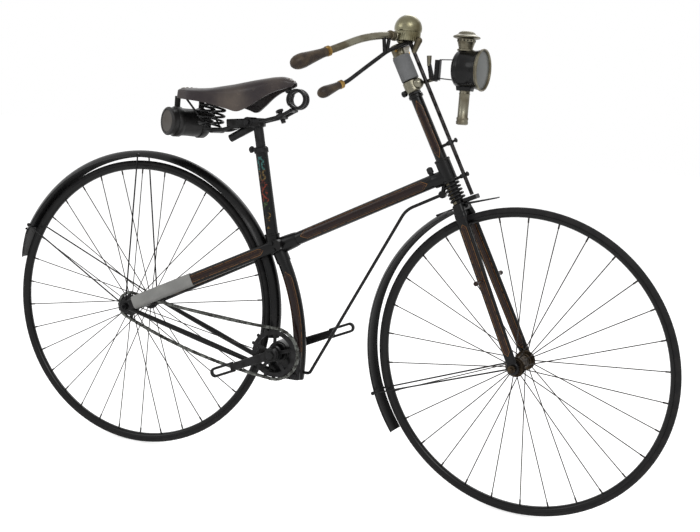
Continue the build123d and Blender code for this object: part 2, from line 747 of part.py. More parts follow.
# Saddle clamp on the post, with the slanted tail behind it
clamp_radius = 13.0
clamp_centre = post_top + Vector(-20, 0, -2)
tail_end = Vector(233, 0, 838)
saddle_clamp = rod(post_top - seat_way * 6, tail_end, 10)
saddle_clamp += disc(clamp_centre, clamp_radius, 26)
saddle_clamp -= rod(seat_tube_top, post_top, 12.5 + seat_gap)

# Under frame: two rails, the front bolt, and the springs at both ends
rail_radius = 4.5
rail_side = 17.0
spring_side = 52.0
rail_points = [
    Vector(194, spring_side, 858),
    Vector(238, 46, 859),
    Vector(264, 20, 876),
    Vector(300, rail_side, 884),
    Vector(372, rail_side, 906),
    Vector(402, rail_side, 924),
]
rails = [bent_rod(mirrored(rail_points, side), [14, 14, 60, 60], rail_radius) for side in (1, -1)]
rails = rails[0] + rails[1]
front_bolt = Vector(370, 0, 907)
rails += Pos(front_bolt) * Box(16, 2 * rail_side + 4, 14)
rails += rod(front_bolt - up * 18, front_bolt + up * 20, 6)
for side in (1, -1):
    grown = bent_rod(mirrored(rail_points, side), [14, 14, 60, 60], rail_radius + seat_gap)
    saddle_clamp -= grown
save("saddle_clamp", saddle_clamp)

rear_spring_radius = 22.0
rear_spring_bore = 14.0
front_spring_radius = 28.0
front_spring_bore = 13.0
front_spring_length = 15.0
rear_springs = []
front_springs = []
nose_bar = rod(Vector(389, -27, 970), Vector(389, 27, 970), 5)
nose_bar += rod(Vector(389, 0, 970), Vector(386, 0, 1002), 5) & leather_hollow.moved(
    Location((0, 0, -running_gap))
)
for side in (1, -1):
    foot = Vector(207, side * spring_side, 858 + rail_radius + 0.9)
    top = Vector(207, side * spring_side, cantle_z - cantle_radius - running_gap)
    rear_springs.append(pipe(foot, top, rear_spring_radius, rear_spring_bore))
    coil_centre = Vector(411, side * 19, 951)
    coil = ring(coil_centre, front_spring_radius, front_spring_bore, front_spring_length / 2)
    nose_bar -= disc(coil_centre, front_spring_radius + running_gap, front_spring_length / 2 + 1)
    rails -= disc(coil_centre, front_spring_radius + running_gap, front_spring_length / 2 + 1)
    front_springs.append(coil)
save("rear_springs", Compound(children=rear_springs))
save("front_springs", Compound(children=front_springs))
save("saddle_frame", Compound(children=[*rails.solids(), *cantle.solids(), *nose_bar.solids()]))
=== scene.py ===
import json
import math

import bmesh
import bpy
import numpy as np
from mathutils import Matrix


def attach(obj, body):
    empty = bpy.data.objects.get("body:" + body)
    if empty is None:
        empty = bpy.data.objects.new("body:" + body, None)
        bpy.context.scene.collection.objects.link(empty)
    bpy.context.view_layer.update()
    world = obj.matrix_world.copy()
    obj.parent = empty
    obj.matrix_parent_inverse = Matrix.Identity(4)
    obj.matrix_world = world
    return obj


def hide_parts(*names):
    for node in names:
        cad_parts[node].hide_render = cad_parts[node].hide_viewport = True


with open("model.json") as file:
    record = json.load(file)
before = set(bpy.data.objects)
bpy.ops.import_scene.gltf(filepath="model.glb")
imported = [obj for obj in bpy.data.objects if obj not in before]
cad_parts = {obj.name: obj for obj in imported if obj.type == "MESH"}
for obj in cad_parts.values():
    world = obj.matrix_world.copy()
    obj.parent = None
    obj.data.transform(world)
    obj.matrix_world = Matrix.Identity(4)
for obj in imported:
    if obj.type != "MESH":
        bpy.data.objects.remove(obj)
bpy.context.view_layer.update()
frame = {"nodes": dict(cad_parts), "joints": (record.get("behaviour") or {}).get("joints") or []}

mm = 0.001
scene = bpy.context.scene

# Places come from the frame's joints. spot() takes millimetres from the ground under the rear hub.
joints = {joint["name"]: joint for joint in frame["joints"]}
rearHub = np.array(joints["rear_wheel_spin"]["pos_m"])
frontHub = np.array(joints["front_wheel_spin"]["pos_m"])
crankCentre = np.array(joints["crank_spin"]["pos_m"])
groundUnderHub = rearHub - np.array([0, 0, 0.381])
across = np.array([0.0, 1.0, 0.0])
wheelSide = np.array(joints["front_wheel_spin"]["axis"], float)
jointUp = np.array(joints["steering"]["axis"], float)
jointUp /= np.linalg.norm(jointUp)


def turnAbout(up):
    # the turn that takes straight ahead to where the front wheel points, about an upward line
    ahead, turnedAhead = np.cross(across, up), np.cross(wheelSide, up)
    turnedAhead = turnedAhead / np.linalg.norm(turnedAhead)
    return np.outer(turnedAhead, ahead) + np.outer(np.cross(up, turnedAhead), across) + np.outer(up, up)


wheelTurn = turnAbout(jointUp)
steeringLine = {"lean": 28.1, "place": (820.6, 0, 790.0)}  # degrees back from upright, a point on it
lean = math.radians(steeringLine["lean"])
axisUp = np.array([-math.sin(lean), 0, math.cos(lean)])
axisAhead = np.cross(across, axisUp)
turnMatrix = turnAbout(axisUp)
frontAhead, frontSide = turnMatrix @ axisAhead, turnMatrix @ across


def spot(x, y, z):
    return groundUnderHub + np.array([x, y, z], float) * mm


headPoint = spot(*steeringLine["place"])


def steered(up, ahead=0.0, side=0.0):
    # along the steering line from its zero, ahead of it and to its left, turned with the fork
    return headPoint + (axisUp * up + frontAhead * ahead + frontSide * side) * mm


def straight(up, ahead=0.0):
    # the same with the steering straight, for what stays on the frame
    return headPoint + (axisUp * up + axisAhead * ahead) * mm


def turned(points):
    return headPoint + (np.asarray(points) - headPoint) @ turnMatrix.T


def unit(vector):
    vector = np.asarray(vector, float)
    return vector / np.linalg.norm(vector)


def poseOf(right, up, back, place):
    # the matrix of the camera or of a lamp, from its axes and its place
    return Matrix([*np.stack([right, up, back, place], 1).tolist(), [0, 0, 0, 1]])


# Camera at the photograph's viewing angle
camera = {
    "place": (1480.94, -2519.93, 917.17),  # millimetres, from the ground under the rear hub
    "yaw": 19.990,  # degrees to the left of straight across
    "pitch": 5.859,
    "roll": 4.534,
    "focal": 1082.276,  # pixels
    "centre": (345.034, 228.789),  # pixels, where the lens points
    "frame": (700, 532),  # pixels
    "sensor": 36.0,
}
yaw, pitch, roll = (math.radians(camera[key]) for key in ("yaw", "pitch", "roll"))
lookWay = np.array([-math.sin(yaw) * math.cos(pitch), math.cos(yaw) * math.cos(pitch), -math.sin(pitch)])
levelRight = unit(np.cross(lookWay, (0, 0, 1)))
levelUp = np.cross(levelRight, lookWay)
cameraRight = math.cos(roll) * levelRight + math.sin(roll) * levelUp
cameraUp = -math.sin(roll) * levelRight + math.cos(roll) * levelUp
frameWide, frameHigh = camera["frame"]
lens = bpy.data.cameras.new("camera")
lens.sensor_width = camera["sensor"]
lens.lens = camera["focal"] / frameWide * camera["sensor"]
lens.shift_x = (frameWide / 2 - camera["centre"][0]) / frameWide
lens.shift_y = (camera["centre"][1] - frameHigh / 2) / frameWide
lens.clip_start = 0.05
lens.clip_end = 60
cameraObject = bpy.data.objects.new("camera", lens)
cameraObject.matrix_world = poseOf(cameraRight, cameraUp, -lookWay, spot(*camera["place"]))
scene.collection.objects.link(cameraObject)
scene.camera = cameraObject
scene.view_settings.view_transform = "Standard"
print("camera placed")


# Shader maths: Value wraps a socket, and an expression on values adds Math nodes
class Value:
    def __init__(self, finish, socket):
        self.finish, self.socket = finish, socket

    def math(self, operation, *others):
        inputs = [self, *others]
        return self.finish.node("ShaderNodeMath", {"operation": operation}, dict(enumerate(inputs)))

    def __add__(self, other):
        return self.math("ADD", other)

    def __sub__(self, other):
        return self.math("SUBTRACT", other)

    def __mul__(self, other):
        return self.math("MULTIPLY", other)

    def __truediv__(self, other):
        return self.math("DIVIDE", other)

    def __rsub__(self, other):
        return self.math("MULTIPLY", -1.0).math("ADD", other)

    __radd__, __rmul__ = __add__, __mul__

    def least(self, other):
        return self.math("MINIMUM", other)

    def most(self, other):
        return self.math("MAXIMUM", other)

    def size(self):
        return self.math("ABSOLUTE")

    # 0 below low, 1 above high, a smooth step between
    def step(self, low, high):
        inputs = {"Value": self, "From Min": low, "From Max": high}
        return self.finish.node("ShaderNodeMapRange", {"interpolation_type": "SMOOTHSTEP"}, inputs)


# One material: node() adds any node, and the sockets of the shader are set once or fed by values
class Finish:
    def __init__(self, name, **sockets):
        self.material = bpy.data.materials.new(name)
        self.material.use_nodes = True
        self.tree = self.material.node_tree
        self.shader = self.tree.nodes["Principled BSDF"]
        self.place = self.node("ShaderNodeTexCoord", {}, {}, "Object")
        for socket, value in sockets.items():
            self.shader.inputs[socket.replace("_", " ")].default_value = value

    def feed(self, socket, value):
        if isinstance(value, Value):
            self.tree.links.new(value.socket, socket)
        else:
            socket.default_value = value

    def node(self, kind, settings, inputs, output=0):
        added = self.tree.nodes.new(kind)
        for key, value in settings.items():
            setattr(added, key, value)
        for key, value in inputs.items():
            self.feed(added.inputs[key], value)
        return Value(self, added.outputs[output])

    def set(self, socket, value):
        self.feed(self.shader.inputs[socket], value)

    def mix(self, share, low, high):
        settings = {"data_type": "RGBA"}
        return self.node("ShaderNodeMix", settings, {0: share, 6: low, 7: high}, 2)

    def noise(self, scale, detail=3.0, stretch=None):
        place = self.place
        if stretch is not None:
            place = self.node("ShaderNodeMapping", {}, {"Vector": place, "Scale": stretch})
        return self.node("ShaderNodeTexNoise", {}, {"Vector": place, "Scale": scale, "Detail": detail}, 0)

    def cells(self, scale):
        return self.node("ShaderNodeTexVoronoi", {}, {"Vector": self.place, "Scale": scale}, 0)

    def vector(self, operation, first, second, output=0):
        inputs = {0: first, 1: tuple(second)}
        return self.node("ShaderNodeVectorMath", {"operation": operation}, inputs, output)

    # How far the point lies from the origin along a way
    def along(self, origin, way):
        return self.vector("DOT_PRODUCT", self.vector("SUBTRACT", self.place, origin), way, 1)

    def distanceTo(self, place):
        return self.vector("DISTANCE", self.place, place, 1)

    def bump(self, height, strength, distance):
        inputs = {"Height": height, "Strength": strength, "Distance": distance}
        self.set("Normal", self.node("ShaderNodeBump", {}, inputs))


def colour(red, green, blue):
    # from the 0 to 255 of a picture to linear light
    shares = (red / 255, green / 255, blue / 255)
    return (*[v / 12.92 if v <= 0.04045 else ((v + 0.055) / 1.055) ** 2.4 for v in shares], 1.0)


enamelLook = {
    "black": colour(7, 7, 8),
    "dust": colour(20, 18, 17),
    "chip": colour(48, 34, 26),
    "panel": colour(40, 19, 15),
    "gold": colour(150, 104, 56),
    "line": 0.0007,  # metres, half the width of the line round a panel
    "inset": 0.0042,  # metres, from its edge to the thinner line inside it
    "sockets": {"Specular_IOR_Level": 0.16, "Coat_Weight": 0.10, "Coat_Roughness": 0.10},
}


# Enamel: black mixed by noise with dust and small chips; a panel is where its edge's distance is positive
def enamelFinish(name, edge=None):
    finish = Finish(name, **enamelLook["sockets"])
    dust = finish.noise(38, 5).step(0.48, 0.78)
    chips = finish.noise(230, 2).step(0.70, 0.74)
    shade = finish.mix(dust * 0.5, enamelLook["black"], enamelLook["dust"])
    if edge is not None:
        distance = edge(finish)
        worn = finish.noise(120, 3).step(0.30, 0.52)
        fill = finish.mix(finish.noise(60, 4), enamelLook["panel"], enamelLook["black"])
        shade = finish.mix(distance.step(-0.0002, 0.0002), shade, fill)
        wide = enamelLook["line"]
        line = distance.size().step(wide, wide * 0.6)
        inner = (distance - enamelLook["inset"]).size().step(wide * 0.55, wide * 0.3)
        shade = finish.mix(line.most(inner * 0.5) * worn * 0.7, shade, enamelLook["gold"])
    shade = finish.mix(chips * 0.6, shade, enamelLook["chip"])
    finish.set("Base Color", shade)
    finish.set("Roughness", finish.noise(55, 4) * 0.26 + 0.16)
    finish.bump(finish.noise(420, 2), 0.12, 0.0004)
    return finish.material


def panelEdge(run, aside, start, end, half, point):
    # distance to a panel's edge: the least of those to its two pointed ends and to its sides
    slant = math.hypot(1, point)
    foot, top = (run - start - aside * point) / slant, (end - run - aside * point) / slant
    return (half - aside).least(foot).least(top)


# Panel on both sides of a straight tube, where the distance across it is an angle times the radius
def tubePanel(start, end, radius, margin, half, point=1.3):
    way, length = unit(np.subtract(end, start)), np.linalg.norm(np.subtract(end, start))
    side = unit(across - way * np.dot(across, way))
    over = np.cross(side, way)

    def edge(finish):
        run, rise, out = (finish.along(start, line) for line in (way, over, side))
        arc = rise.math("ARCTAN2", out.size()).size() * radius
        return panelEdge(run, arc, margin, length - margin, half * radius, point)

    return edge


# The same on a flat bar, where the distance across it is measured straight
def barPanel(start, end, side, half, margin, point=1.3):
    way, length = unit(np.subtract(end, start)), np.linalg.norm(np.subtract(end, start))
    side = unit(np.asarray(side) - way * np.dot(side, way))
    over = np.cross(side, way)

    def edge(finish):
        aside = finish.along(start, over).size()
        return panelEdge(finish.along(start, way), aside, margin, length - margin, half, point)

    return edge


# The same on a tube bent in a circle in the middle plane, where the run is an angle times the radius
def arcPanel(centre, bendRadius, angles, radius, margin, half, point=1.3):
    def edge(finish):
        ahead, rise, out = (finish.along(centre, line) for line in ((1, 0, 0), (0, 0, 1), across))
        run = rise.math("ARCTAN2", ahead) * bendRadius
        reach = (ahead * ahead + rise * rise).math("SQRT") - bendRadius
        arc = reach.math("ARCTAN2", out.size()).size() * radius
        start, end = (math.radians(angle) * bendRadius for angle in angles)
        return panelEdge(run, arc, start + margin, end - margin, half * radius, point)

    return edge


# Metals: two shades mixed by stains, with a roughness that follows them
def metalFinish(name, bright, dull, metallic=1.0, smooth=0.28, grain=70):
    finish = Finish(name, Metallic=metallic)
    stain = finish.noise(grain, 5).step(0.35, 0.68)
    spots = finish.noise(grain * 5, 3).step(0.60, 0.72)
    finish.set("Base Color", finish.mix(stain.most(spots * 0.7), bright, dull))
    finish.set("Roughness", stain * 0.28 + smooth)
    finish.bump(finish.noise(grain * 9, 2), 0.10, 0.0004)
    return finish.material


# Plain rough finishes: two shades mixed by cloudy noise, a fine bump
def roughFinish(name, low, high, rough, scale, strength, distance=0.0006):
    finish = Finish(name, Specular_IOR_Level=0.18)
    finish.set("Base Color", finish.mix(finish.noise(scale, 4).step(0.3, 0.7), low, high))
    finish.set("Roughness", finish.noise(scale * 2, 3) * 0.2 + rough)
    finish.bump(finish.noise(scale * 8, 3), strength, distance)
    return finish.material


# Leather: creased grain from cells and noise, paler by cloudy noise, by scratches and in the places given, which on
# the saddle are worn leather and a painted highlight
def leatherFinish(name, deep, worn, wornAndSheenPlace=None, rough=0.42):
    finish = Finish(name, Specular_IOR_Level=0.30, Coat_Weight=0.12, Coat_Roughness=0.25)
    cloud = finish.noise(24, 5).step(0.35, 0.75)
    share = cloud * 0.22
    if wornAndSheenPlace is not None:
        share = share + wornAndSheenPlace(finish) * 0.6
    scratch = finish.noise(90, 4, (0.25, 1.6, 1.0)).step(0.62, 0.70)
    finish.set("Base Color", finish.mix((share + scratch * 0.2).least(1.0), deep, worn))
    finish.set("Roughness", cloud * 0.18 + rough)
    finish.bump(finish.cells(620) * 0.7 + finish.noise(150, 5) * 0.8, 0.35, 0.0006)
    return finish.material


nickel = metalFinish("wornNickel", colour(122, 119, 105), colour(88, 81, 66), grain=26)
brightNickel = metalFinish("bellNickel", colour(128, 125, 103), colour(92, 86, 64), smooth=0.22, grain=26)
gilt = metalFinish("wornGilt", colour(160, 128, 70), colour(96, 72, 40), smooth=0.34)
agedBrass = metalFinish("agedBrass", colour(104, 86, 58), colour(58, 46, 34), smooth=0.40)
lampGlass = roughFinish("lampGlass", colour(92, 95, 94), colour(102, 104, 102), 0.22, 12, 0.02)
spokeSteel = metalFinish("spokeSteel", colour(62, 60, 58), colour(38, 34, 31), smooth=0.42)
rodSteel = metalFinish("rodSteel", colour(54, 52, 52), colour(24, 23, 23), smooth=0.24)
blackSteel = metalFinish("blackSteel", colour(26, 26, 27), colour(14, 13, 13), metallic=0.6, smooth=0.36)
chainSteel = metalFinish("chainSteel", colour(104, 106, 102), colour(48, 47, 45), smooth=0.36, grain=90)
bronzeSteel = metalFinish("hubBronze", colour(70, 60, 48), colour(36, 31, 26), smooth=0.40)
rubber = roughFinish("oldRubber", colour(24, 24, 25), colour(36, 35, 35), 0.62, 60, 0.30)
sleeveGrey = roughFinish("sleeveGrey", colour(134, 134, 132), colour(146, 146, 143), 0.70, 30, 0.10)
stemGrey = roughFinish("stemGrey", colour(106, 107, 108), colour(116, 117, 118), 0.70, 30, 0.10)
blackPaint = enamelFinish("blackEnamel")
# the nose patch is worn leather; the flap patch is a painted highlight, the sheen of light on the flap's near side
saddleWearAndSheen = {"nose": ((352, 0, 1008), 0.045), "flap": ((262, -66, 935), 0.042)}  # place and reach


def saddleWornAndSheen(finish):
    # paler where the distance to the nose's top or to the flap's middle is short: worn leather at the nose, a
    # painted highlight on the flap
    share = None
    for place, far in saddleWearAndSheen.values():
        away = finish.distanceTo(spot(*place))
        spread = (away + finish.noise(40, 4) * 0.03).step(far + 0.03, far * 0.5)
        share = spread if share is None else share.most(spread)
    return share


# the pale colour serves both the saddle's wear and the painted highlight on its flap
saddleLeather = leatherFinish("saddleHide", colour(33, 24, 27), colour(92, 82, 74), saddleWornAndSheen, 0.36)
bagLeather = leatherFinish("bagHide", colour(24, 23, 23), colour(52, 48, 45))
bagEnd = leatherFinish("bagEndHide", colour(58, 52, 46), colour(84, 74, 62))
horn = roughFinish("darkHorn", colour(48, 40, 36), colour(78, 66, 52), 0.30, 45, 0.12)
print("finishes made")


# Meshes: grids of points gathered into one piece
class Gather:
    def __init__(self):
        self.points, self.faces, self.count = [], [], 0

    # Quads between neighbours on a grid of rows by columns; each end row is closed by one face
    def grid(self, points, wrapRows=False, caps=True):
        rows, columns = points.shape[:2]
        index = np.arange(rows * columns).reshape(rows, columns) + self.count
        here, there = (index, np.roll(index, -1, 0)) if wrapRows else (index[:-1], index[1:])
        quads = np.stack([here, np.roll(here, -1, 1), np.roll(there, -1, 1), there], -1)
        self.faces += quads.reshape(-1, 4).tolist()
        if caps and not wrapRows:
            self.faces += [index[0].tolist(), index[-1][::-1].tolist()]
        self.points.append(points.reshape(-1, 3))
        self.count += rows * columns
        return self

    def build(self, name, body, finish, slot, replaced=(), sharp=40.0):
        mesh = bpy.data.meshes.new(name)
        mesh.from_pydata(np.concatenate(self.points).tolist(), [], self.faces)
        edit = bmesh.new()
        edit.from_mesh(mesh)
        bmesh.ops.remove_doubles(edit, verts=edit.verts, dist=1e-6)
        bmesh.ops.recalc_face_normals(edit, faces=edit.faces)
        edit.to_mesh(mesh)
        edit.free()
        mesh.polygons.foreach_set("use_smooth", np.ones(len(mesh.polygons), bool))
        mesh.set_sharp_from_angle(angle=math.radians(sharp))
        mesh.materials.append(finish)
        piece = bpy.data.objects.new(name, mesh)
        scene.collection.objects.link(piece)
        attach(piece, body)
        if replaced:
            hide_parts(*replaced)
        return piece


def sideFrame(way, reference):
    # two unit vectors square to each way, the first as near as it can be to the reference
    way = way / np.linalg.norm(way, axis=-1, keepdims=True)
    first = reference - way * np.sum(way * reference, -1, keepdims=True)
    first = first / np.linalg.norm(first, axis=-1, keepdims=True)
    return first, np.cross(way, first)


def circle(sides):
    turn = np.linspace(0, 2 * np.pi, sides, endpoint=False)
    return np.stack([np.cos(turn), np.sin(turn)], -1)


# Profile carried along a path: each path point gets the outline, scaled, in the plane square to the path
def sweep(path, outline, scale=1.0, reference=(0, 1, 0), closed=False):
    path = np.asarray(path, float)
    way = np.roll(path, -1, 0) - np.roll(path, 1, 0) if closed else np.gradient(path, axis=0)
    first, second = sideFrame(way, np.asarray(reference, float))
    scale = np.broadcast_to(scale, len(path))[:, None, None]
    spread = outline[None, :, :1] * first[:, None] + outline[None, :, 1:] * second[:, None]
    return path[:, None] + spread * scale


# Turned shape: a profile of (run, radius) in millimetres carried round an axis
def lathe(origin, way, profile, sides=32):
    run, radius = np.array(profile, float).T * mm
    first, second = sideFrame(unit(way), np.array([0.31, 0.17, 0.93]))
    ring = circle(sides)
    spread = ring[:, :1] * first + ring[:, 1:] * second
    return origin + run[:, None, None] * unit(way) + radius[:, None, None] * spread


# Smooth curve through a few places: a Hermite cubic with the mean slope at each place
def curveThrough(keys, count):
    keys = np.asarray(keys, float)
    slope = np.gradient(keys, axis=0)
    t = np.linspace(0, len(keys) - 1 - 1e-9, count)
    k = t.astype(int)
    f = (t - k)[:, None]
    return (
        keys[k] * (1 + 2 * f) * (1 - f) ** 2
        + slope[k] * f * (1 - f) ** 2
        + keys[k + 1] * f**2 * (3 - 2 * f)
        + slope[k + 1] * f**2 * (f - 1)
    )


def helix(start, end, radii, turns, count, phase=0.0):
    # a coil about the line from start to end, its radius running through the values of radii
    way = unit(end - start)
    first, second = sideFrame(way, np.array([1.0, 0.0, 0.0]) if abs(way[0]) < 0.9 else across)
    t = np.linspace(0, 1, count)
    radius = np.interp(t, np.linspace(0, 1, len(radii)), radii)[:, None] * mm
    turn = (2 * np.pi * turns * t + phase)[:, None]
    return start + (end - start) * t[:, None] + radius * (np.cos(turn) * first + np.sin(turn) * second)


# Outline of a box with round corners, in millimetres; the first coordinate runs along the sweep's reference
def roundedBox(wide, deep, corner, sides=20):
    turn = (np.arange(sides) + 0.5) * 2 * np.pi / sides
    way = np.stack([np.cos(turn), np.sin(turn)], -1)
    return way * corner + np.where(way >= 0, 1, -1) * (np.array([wide, deep]) / 2 - corner)


def stadium(wide, deep, sides=20):
    return roundedBox(wide, deep, min(wide, deep) / 2, sides)


# Round bar along a path: every point gets a circle, whose radius in millimetres may vary along it
def bar(gather, path, radius, sides=20):
    path = np.asarray(path, float)
    reference = np.eye(3)[np.argmin(np.abs(unit(path[-1] - path[0])))]
    return gather.grid(sweep(path, circle(sides), np.asarray(radius, float) * mm, reference))


# Bar with any outline between two points, scaled at each end
def beam(gather, start, end, outline, reference=(0, 1, 0), scale=1.0):
    return gather.grid(sweep(np.array([start, end]), outline * mm, scale, reference))


# Turned disc or collar about a way, its edges softened
def drum(gather, centre, way, half, radius, sides=32, soft=0.6):
    profile = [(-half, 0.3), (-half, radius - soft), (soft - half, radius)]
    return gather.grid(lathe(centre, way, profile + [(-run, size) for run, size in reversed(profile)], sides))


# Turned collar between two points of a line
def collar(gather, start, end, radius, sides=32, soft=0.6):
    start, end = np.asarray(start), np.asarray(end)
    half = np.linalg.norm(end - start) / 2 / mm
    return drum(gather, (start + end) / 2, unit(end - start), half, radius, sides, soft)


# Path through corners, each rounded by a parabola that starts and ends a reach away from it
def bentPath(corners, reaches, steps=10):
    corners = np.asarray(corners, float)
    t = np.linspace(0, 1, steps)[:, None]
    path = [corners[:1]]
    for before, corner, after, reach in zip(corners, corners[1:], corners[2:], reaches):
        first, last = (corner + unit(other - corner) * reach * mm for other in (before, after))
        path.append(first * (1 - t) ** 2 + 2 * corner * t * (1 - t) + last * t**2)
    return np.concatenate(path + [corners[-1:]])


def mirrored(points, side):
    return np.asarray(points, float) * [1, side, 1]


# Profile of a ball, or of an egg when the two sizes differ, as (run, radius)
def ballProfile(halfRun, radius, steps):
    return [(halfRun * math.sin(a), max(radius * math.cos(a), 0.3)) for a in np.linspace(-1.55, 1.55, steps)]


# Floor and light
floorHeight = groundUnderHub[2]
floorMesh = bpy.data.meshes.new("floor")
reach = 30.0
floorMesh.from_pydata([(-reach, -reach, floorHeight), (reach, -reach, floorHeight), (reach, reach, floorHeight),
                       (-reach, reach, floorHeight)], [], [(0, 1, 2, 3)])
floor = bpy.data.objects.new("floor", floorMesh)
scene.collection.objects.link(floor)
studio = {"floor": 0.80, "floorGlow": 0.62, "sky": 0.55}
floorFinish = Finish("paleFloor", Base_Color=(studio["floor"],) * 3 + (1,), Roughness=0.9)
rays = floorFinish.tree.nodes.new("ShaderNodeLightPath")
cameraRay, glossyRay = (Value(floorFinish, rays.outputs[key]) for key in ("Is Camera Ray", "Is Glossy Ray"))
seen = cameraRay.most(glossyRay)
floorFinish.shader.inputs["Emission Strength"].default_value = 1.0
floorFinish.set("Emission Color", floorFinish.mix(seen, (0, 0, 0, 1), (studio["floorGlow"],) * 3 + (1,)))
floorMesh.materials.append(floorFinish.material)

world = bpy.data.worlds.new("studio")
scene.world = world
world.use_nodes = True
skyTree = world.node_tree
skyLight = skyTree.nodes["Background"]
skySeen = skyTree.nodes.new("ShaderNodeBackground")
for background in (skyLight, skySeen):
    background.inputs["Color"].default_value = (1, 1, 1, 1)
skyLight.inputs["Strength"].default_value = studio["sky"]
# white where the camera, a reflection or a look through glass meets the sky, soft light elsewhere
skyRays = skyTree.nodes.new("ShaderNodeLightPath")
skyShare = skyRays.outputs["Is Camera Ray"]
for ray in ("Is Glossy Ray", "Is Transmission Ray"):
    most = skyTree.nodes.new("ShaderNodeMath")
    most.operation = "MAXIMUM"
    skyTree.links.new(skyShare, most.inputs[0])
    skyTree.links.new(skyRays.outputs[ray], most.inputs[1])
    skyShare = most.outputs[0]
skyMix = skyTree.nodes.new("ShaderNodeMixShader")
for number, socket in enumerate((skyShare, skyLight.outputs[0], skySeen.outputs[0])):
    skyTree.links.new(socket, skyMix.inputs[number])
skyTree.links.new(skyMix.outputs[0], skyTree.nodes["World Output"].inputs["Surface"])

softLamps = {
    # place, where it points, width, height and power
    "keyLamp": ((2.4, -3.2, 2.6), (0.3, 0, -0.4), 2.6, 1.6, 70.0),
    "fillLamp": ((-2.8, -2.4, 1.6), (0.3, 0, -0.5), 2.2, 1.6, 26.0),
    "backLamp": ((0.4, 3.4, 2.6), (0.3, 0, -0.4), 3.0, 1.6, 45.0),
}
for name, (place, aim, wide, high, power) in softLamps.items():
    light = bpy.data.lights.new(name, "AREA")
    light.shape = "RECTANGLE"
    light.size, light.size_y, light.energy = wide, high, power
    back = unit(np.subtract(place, aim))
    right = unit(np.cross((0, 0, 1), back))
    lightObject = bpy.data.objects.new(name, light)
    lightObject.matrix_world = poseOf(right, np.cross(back, right), back, place)
    scene.collection.objects.link(lightObject)
print("stage and light set")

# Finishes on the frame's own pieces that stay: tyres, rims, hubs, axles, chainring and steerer
kept = {
    "rear_tyre": rubber, "front_tyre": rubber, "rear_rim": blackPaint, "front_rim": blackPaint,
    "rear_hub": blackSteel, "front_hub": bronzeSteel, "rear_axle": blackSteel, "front_axle": bronzeSteel,
    "crank_axle": blackSteel, "chainring": blackSteel, "steerer": nickel,
}
for name, node in frame["nodes"].items():
    node.data.materials.clear()
    node.data.materials.append(kept.get(name, blackPaint))
print("frame finished")

# Wheels: straight spokes by turns to the near and the far flange, thicker at the rim
wheels = {
    "rear": {
        "hub": rearHub, "turn": np.eye(3), "radius": 381, "count": 34, "start": 8.5, "flange": 47,
        "body": "rear_wheel", "uneven": ((0, 360), (0, 0)),
    },
    "front": {
        "hub": frontHub, "turn": wheelTurn, "radius": 372, "count": 30, "start": 19.25, "flange": 36,
        "body": "front_wheel",
        # angles round the wheel and the turn of the spokes there, in degrees, fitted to the photo
        "uneven": ((0, 60, 130, 160, 180, 210, 240, 270, 300, 330, 360),
                   (0, -0.3, 0.2, 1.6, 2.6, 3.1, 3.3, 3.1, 2.5, 1.0, 0)),
    },
}
spokeSizes = {
    "root": 24.2, "tip": 24.2,  # from the hub's axis and from the tread
    "rimSide": 1.5, "shares": (0, 0.965, 0.967, 1), "radii": (1.3, 1.3, 2.1, 2.1),
}


def wheelPoint(wheel, radius, angle, side=0.0, shift=(0, 0)):
    # a point at an angle above the line ahead of a wheel's hub, in the wheel's own turned plane
    turn = math.radians(angle)
    local = np.array([radius * math.cos(turn) + shift[0], side, radius * math.sin(turn) + shift[1]]) * mm
    return wheel["hub"] + wheel["turn"] @ local


for key, wheel in wheels.items():
    spokes = Gather()
    for number in range(wheel["count"]):
        side = 1 if number % 2 else -1
        angle = wheel["start"] + 360 * number / wheel["count"]
        angle += np.interp(angle % 360, *wheel["uneven"])
        root = wheelPoint(wheel, spokeSizes["root"], angle, side * wheel["flange"])
        tip = wheelPoint(wheel, wheel["radius"] - spokeSizes["tip"], angle, side * spokeSizes["rimSide"])
        bar(spokes, [root + (tip - root) * share for share in spokeSizes["shares"]], spokeSizes["radii"], 8)
    spokes.build(key + "Spokes", wheel["body"], spokeSteel, "spoke_steel", [key + "_spokes"])

hubRings = ((40.5, 2.5, 21), (25, 2.0, 18))  # distance from the middle, half thickness, radius
hubTrim = Gather()
for side in (-1, 1):
    for reach, half, radius in hubRings:
        drum(hubTrim, wheelPoint(wheels["front"], 0, 0, side * reach), frontSide, half, radius, 40)
hubTrim.build("frontHubRings", "front_wheel", bronzeSteel, "hub_steel")
print("wheels made")

# Frame: the long tube, the lug where the tubes cross, the seat tube and the bent lower tube
frameSizes = {
    "longTube": 16.5, "lugStart": 428.0, "lugEnd": 492.0, "neckRise": 9.0, "drop": 1.8,
    "seatTube": 15.8, "seatFoot": (368.0, 0, 606), "seatTop": (319.0, 0, 825.7),
    "lowerTube": 16.5, "bendCentre": (-71.6, 0, 288.4), "bendRadius": 540.3, "bendFoot": -4.5, "bendTop": 29.2,
}
neck = straight(frameSizes["neckRise"])
longWay = unit(neck - rearHub)
longUp = np.cross(longWay, across)
neckRun = np.linalg.norm(neck - rearHub) / mm


def onLong(distance, side=0.0, rise=0.0):
    # a point on the line from the rear hub to the neck, moved to a side or above it
    return rearHub + (longWay * distance + across * side + longUp * rise) * mm


longTube = Gather()
drop = frameSizes["drop"]  # the tube lies this much lower at the lug and higher at the head
longEnds = [onLong(frameSizes["lugEnd"] - 4, 0, -drop), onLong(neckRun - 30, 0, drop)]
bar(longTube, longEnds, frameSizes["longTube"], 48)
longPanel = (onLong(frameSizes["lugEnd"]), onLong(neckRun - 36))
longEdge = tubePanel(*longPanel, frameSizes["longTube"] * mm, 0.016, 0.72)
longTube.build("longTube", "root", enamelFinish("longTubeEnamel", longEdge), "black_enamel", ["backbone"])

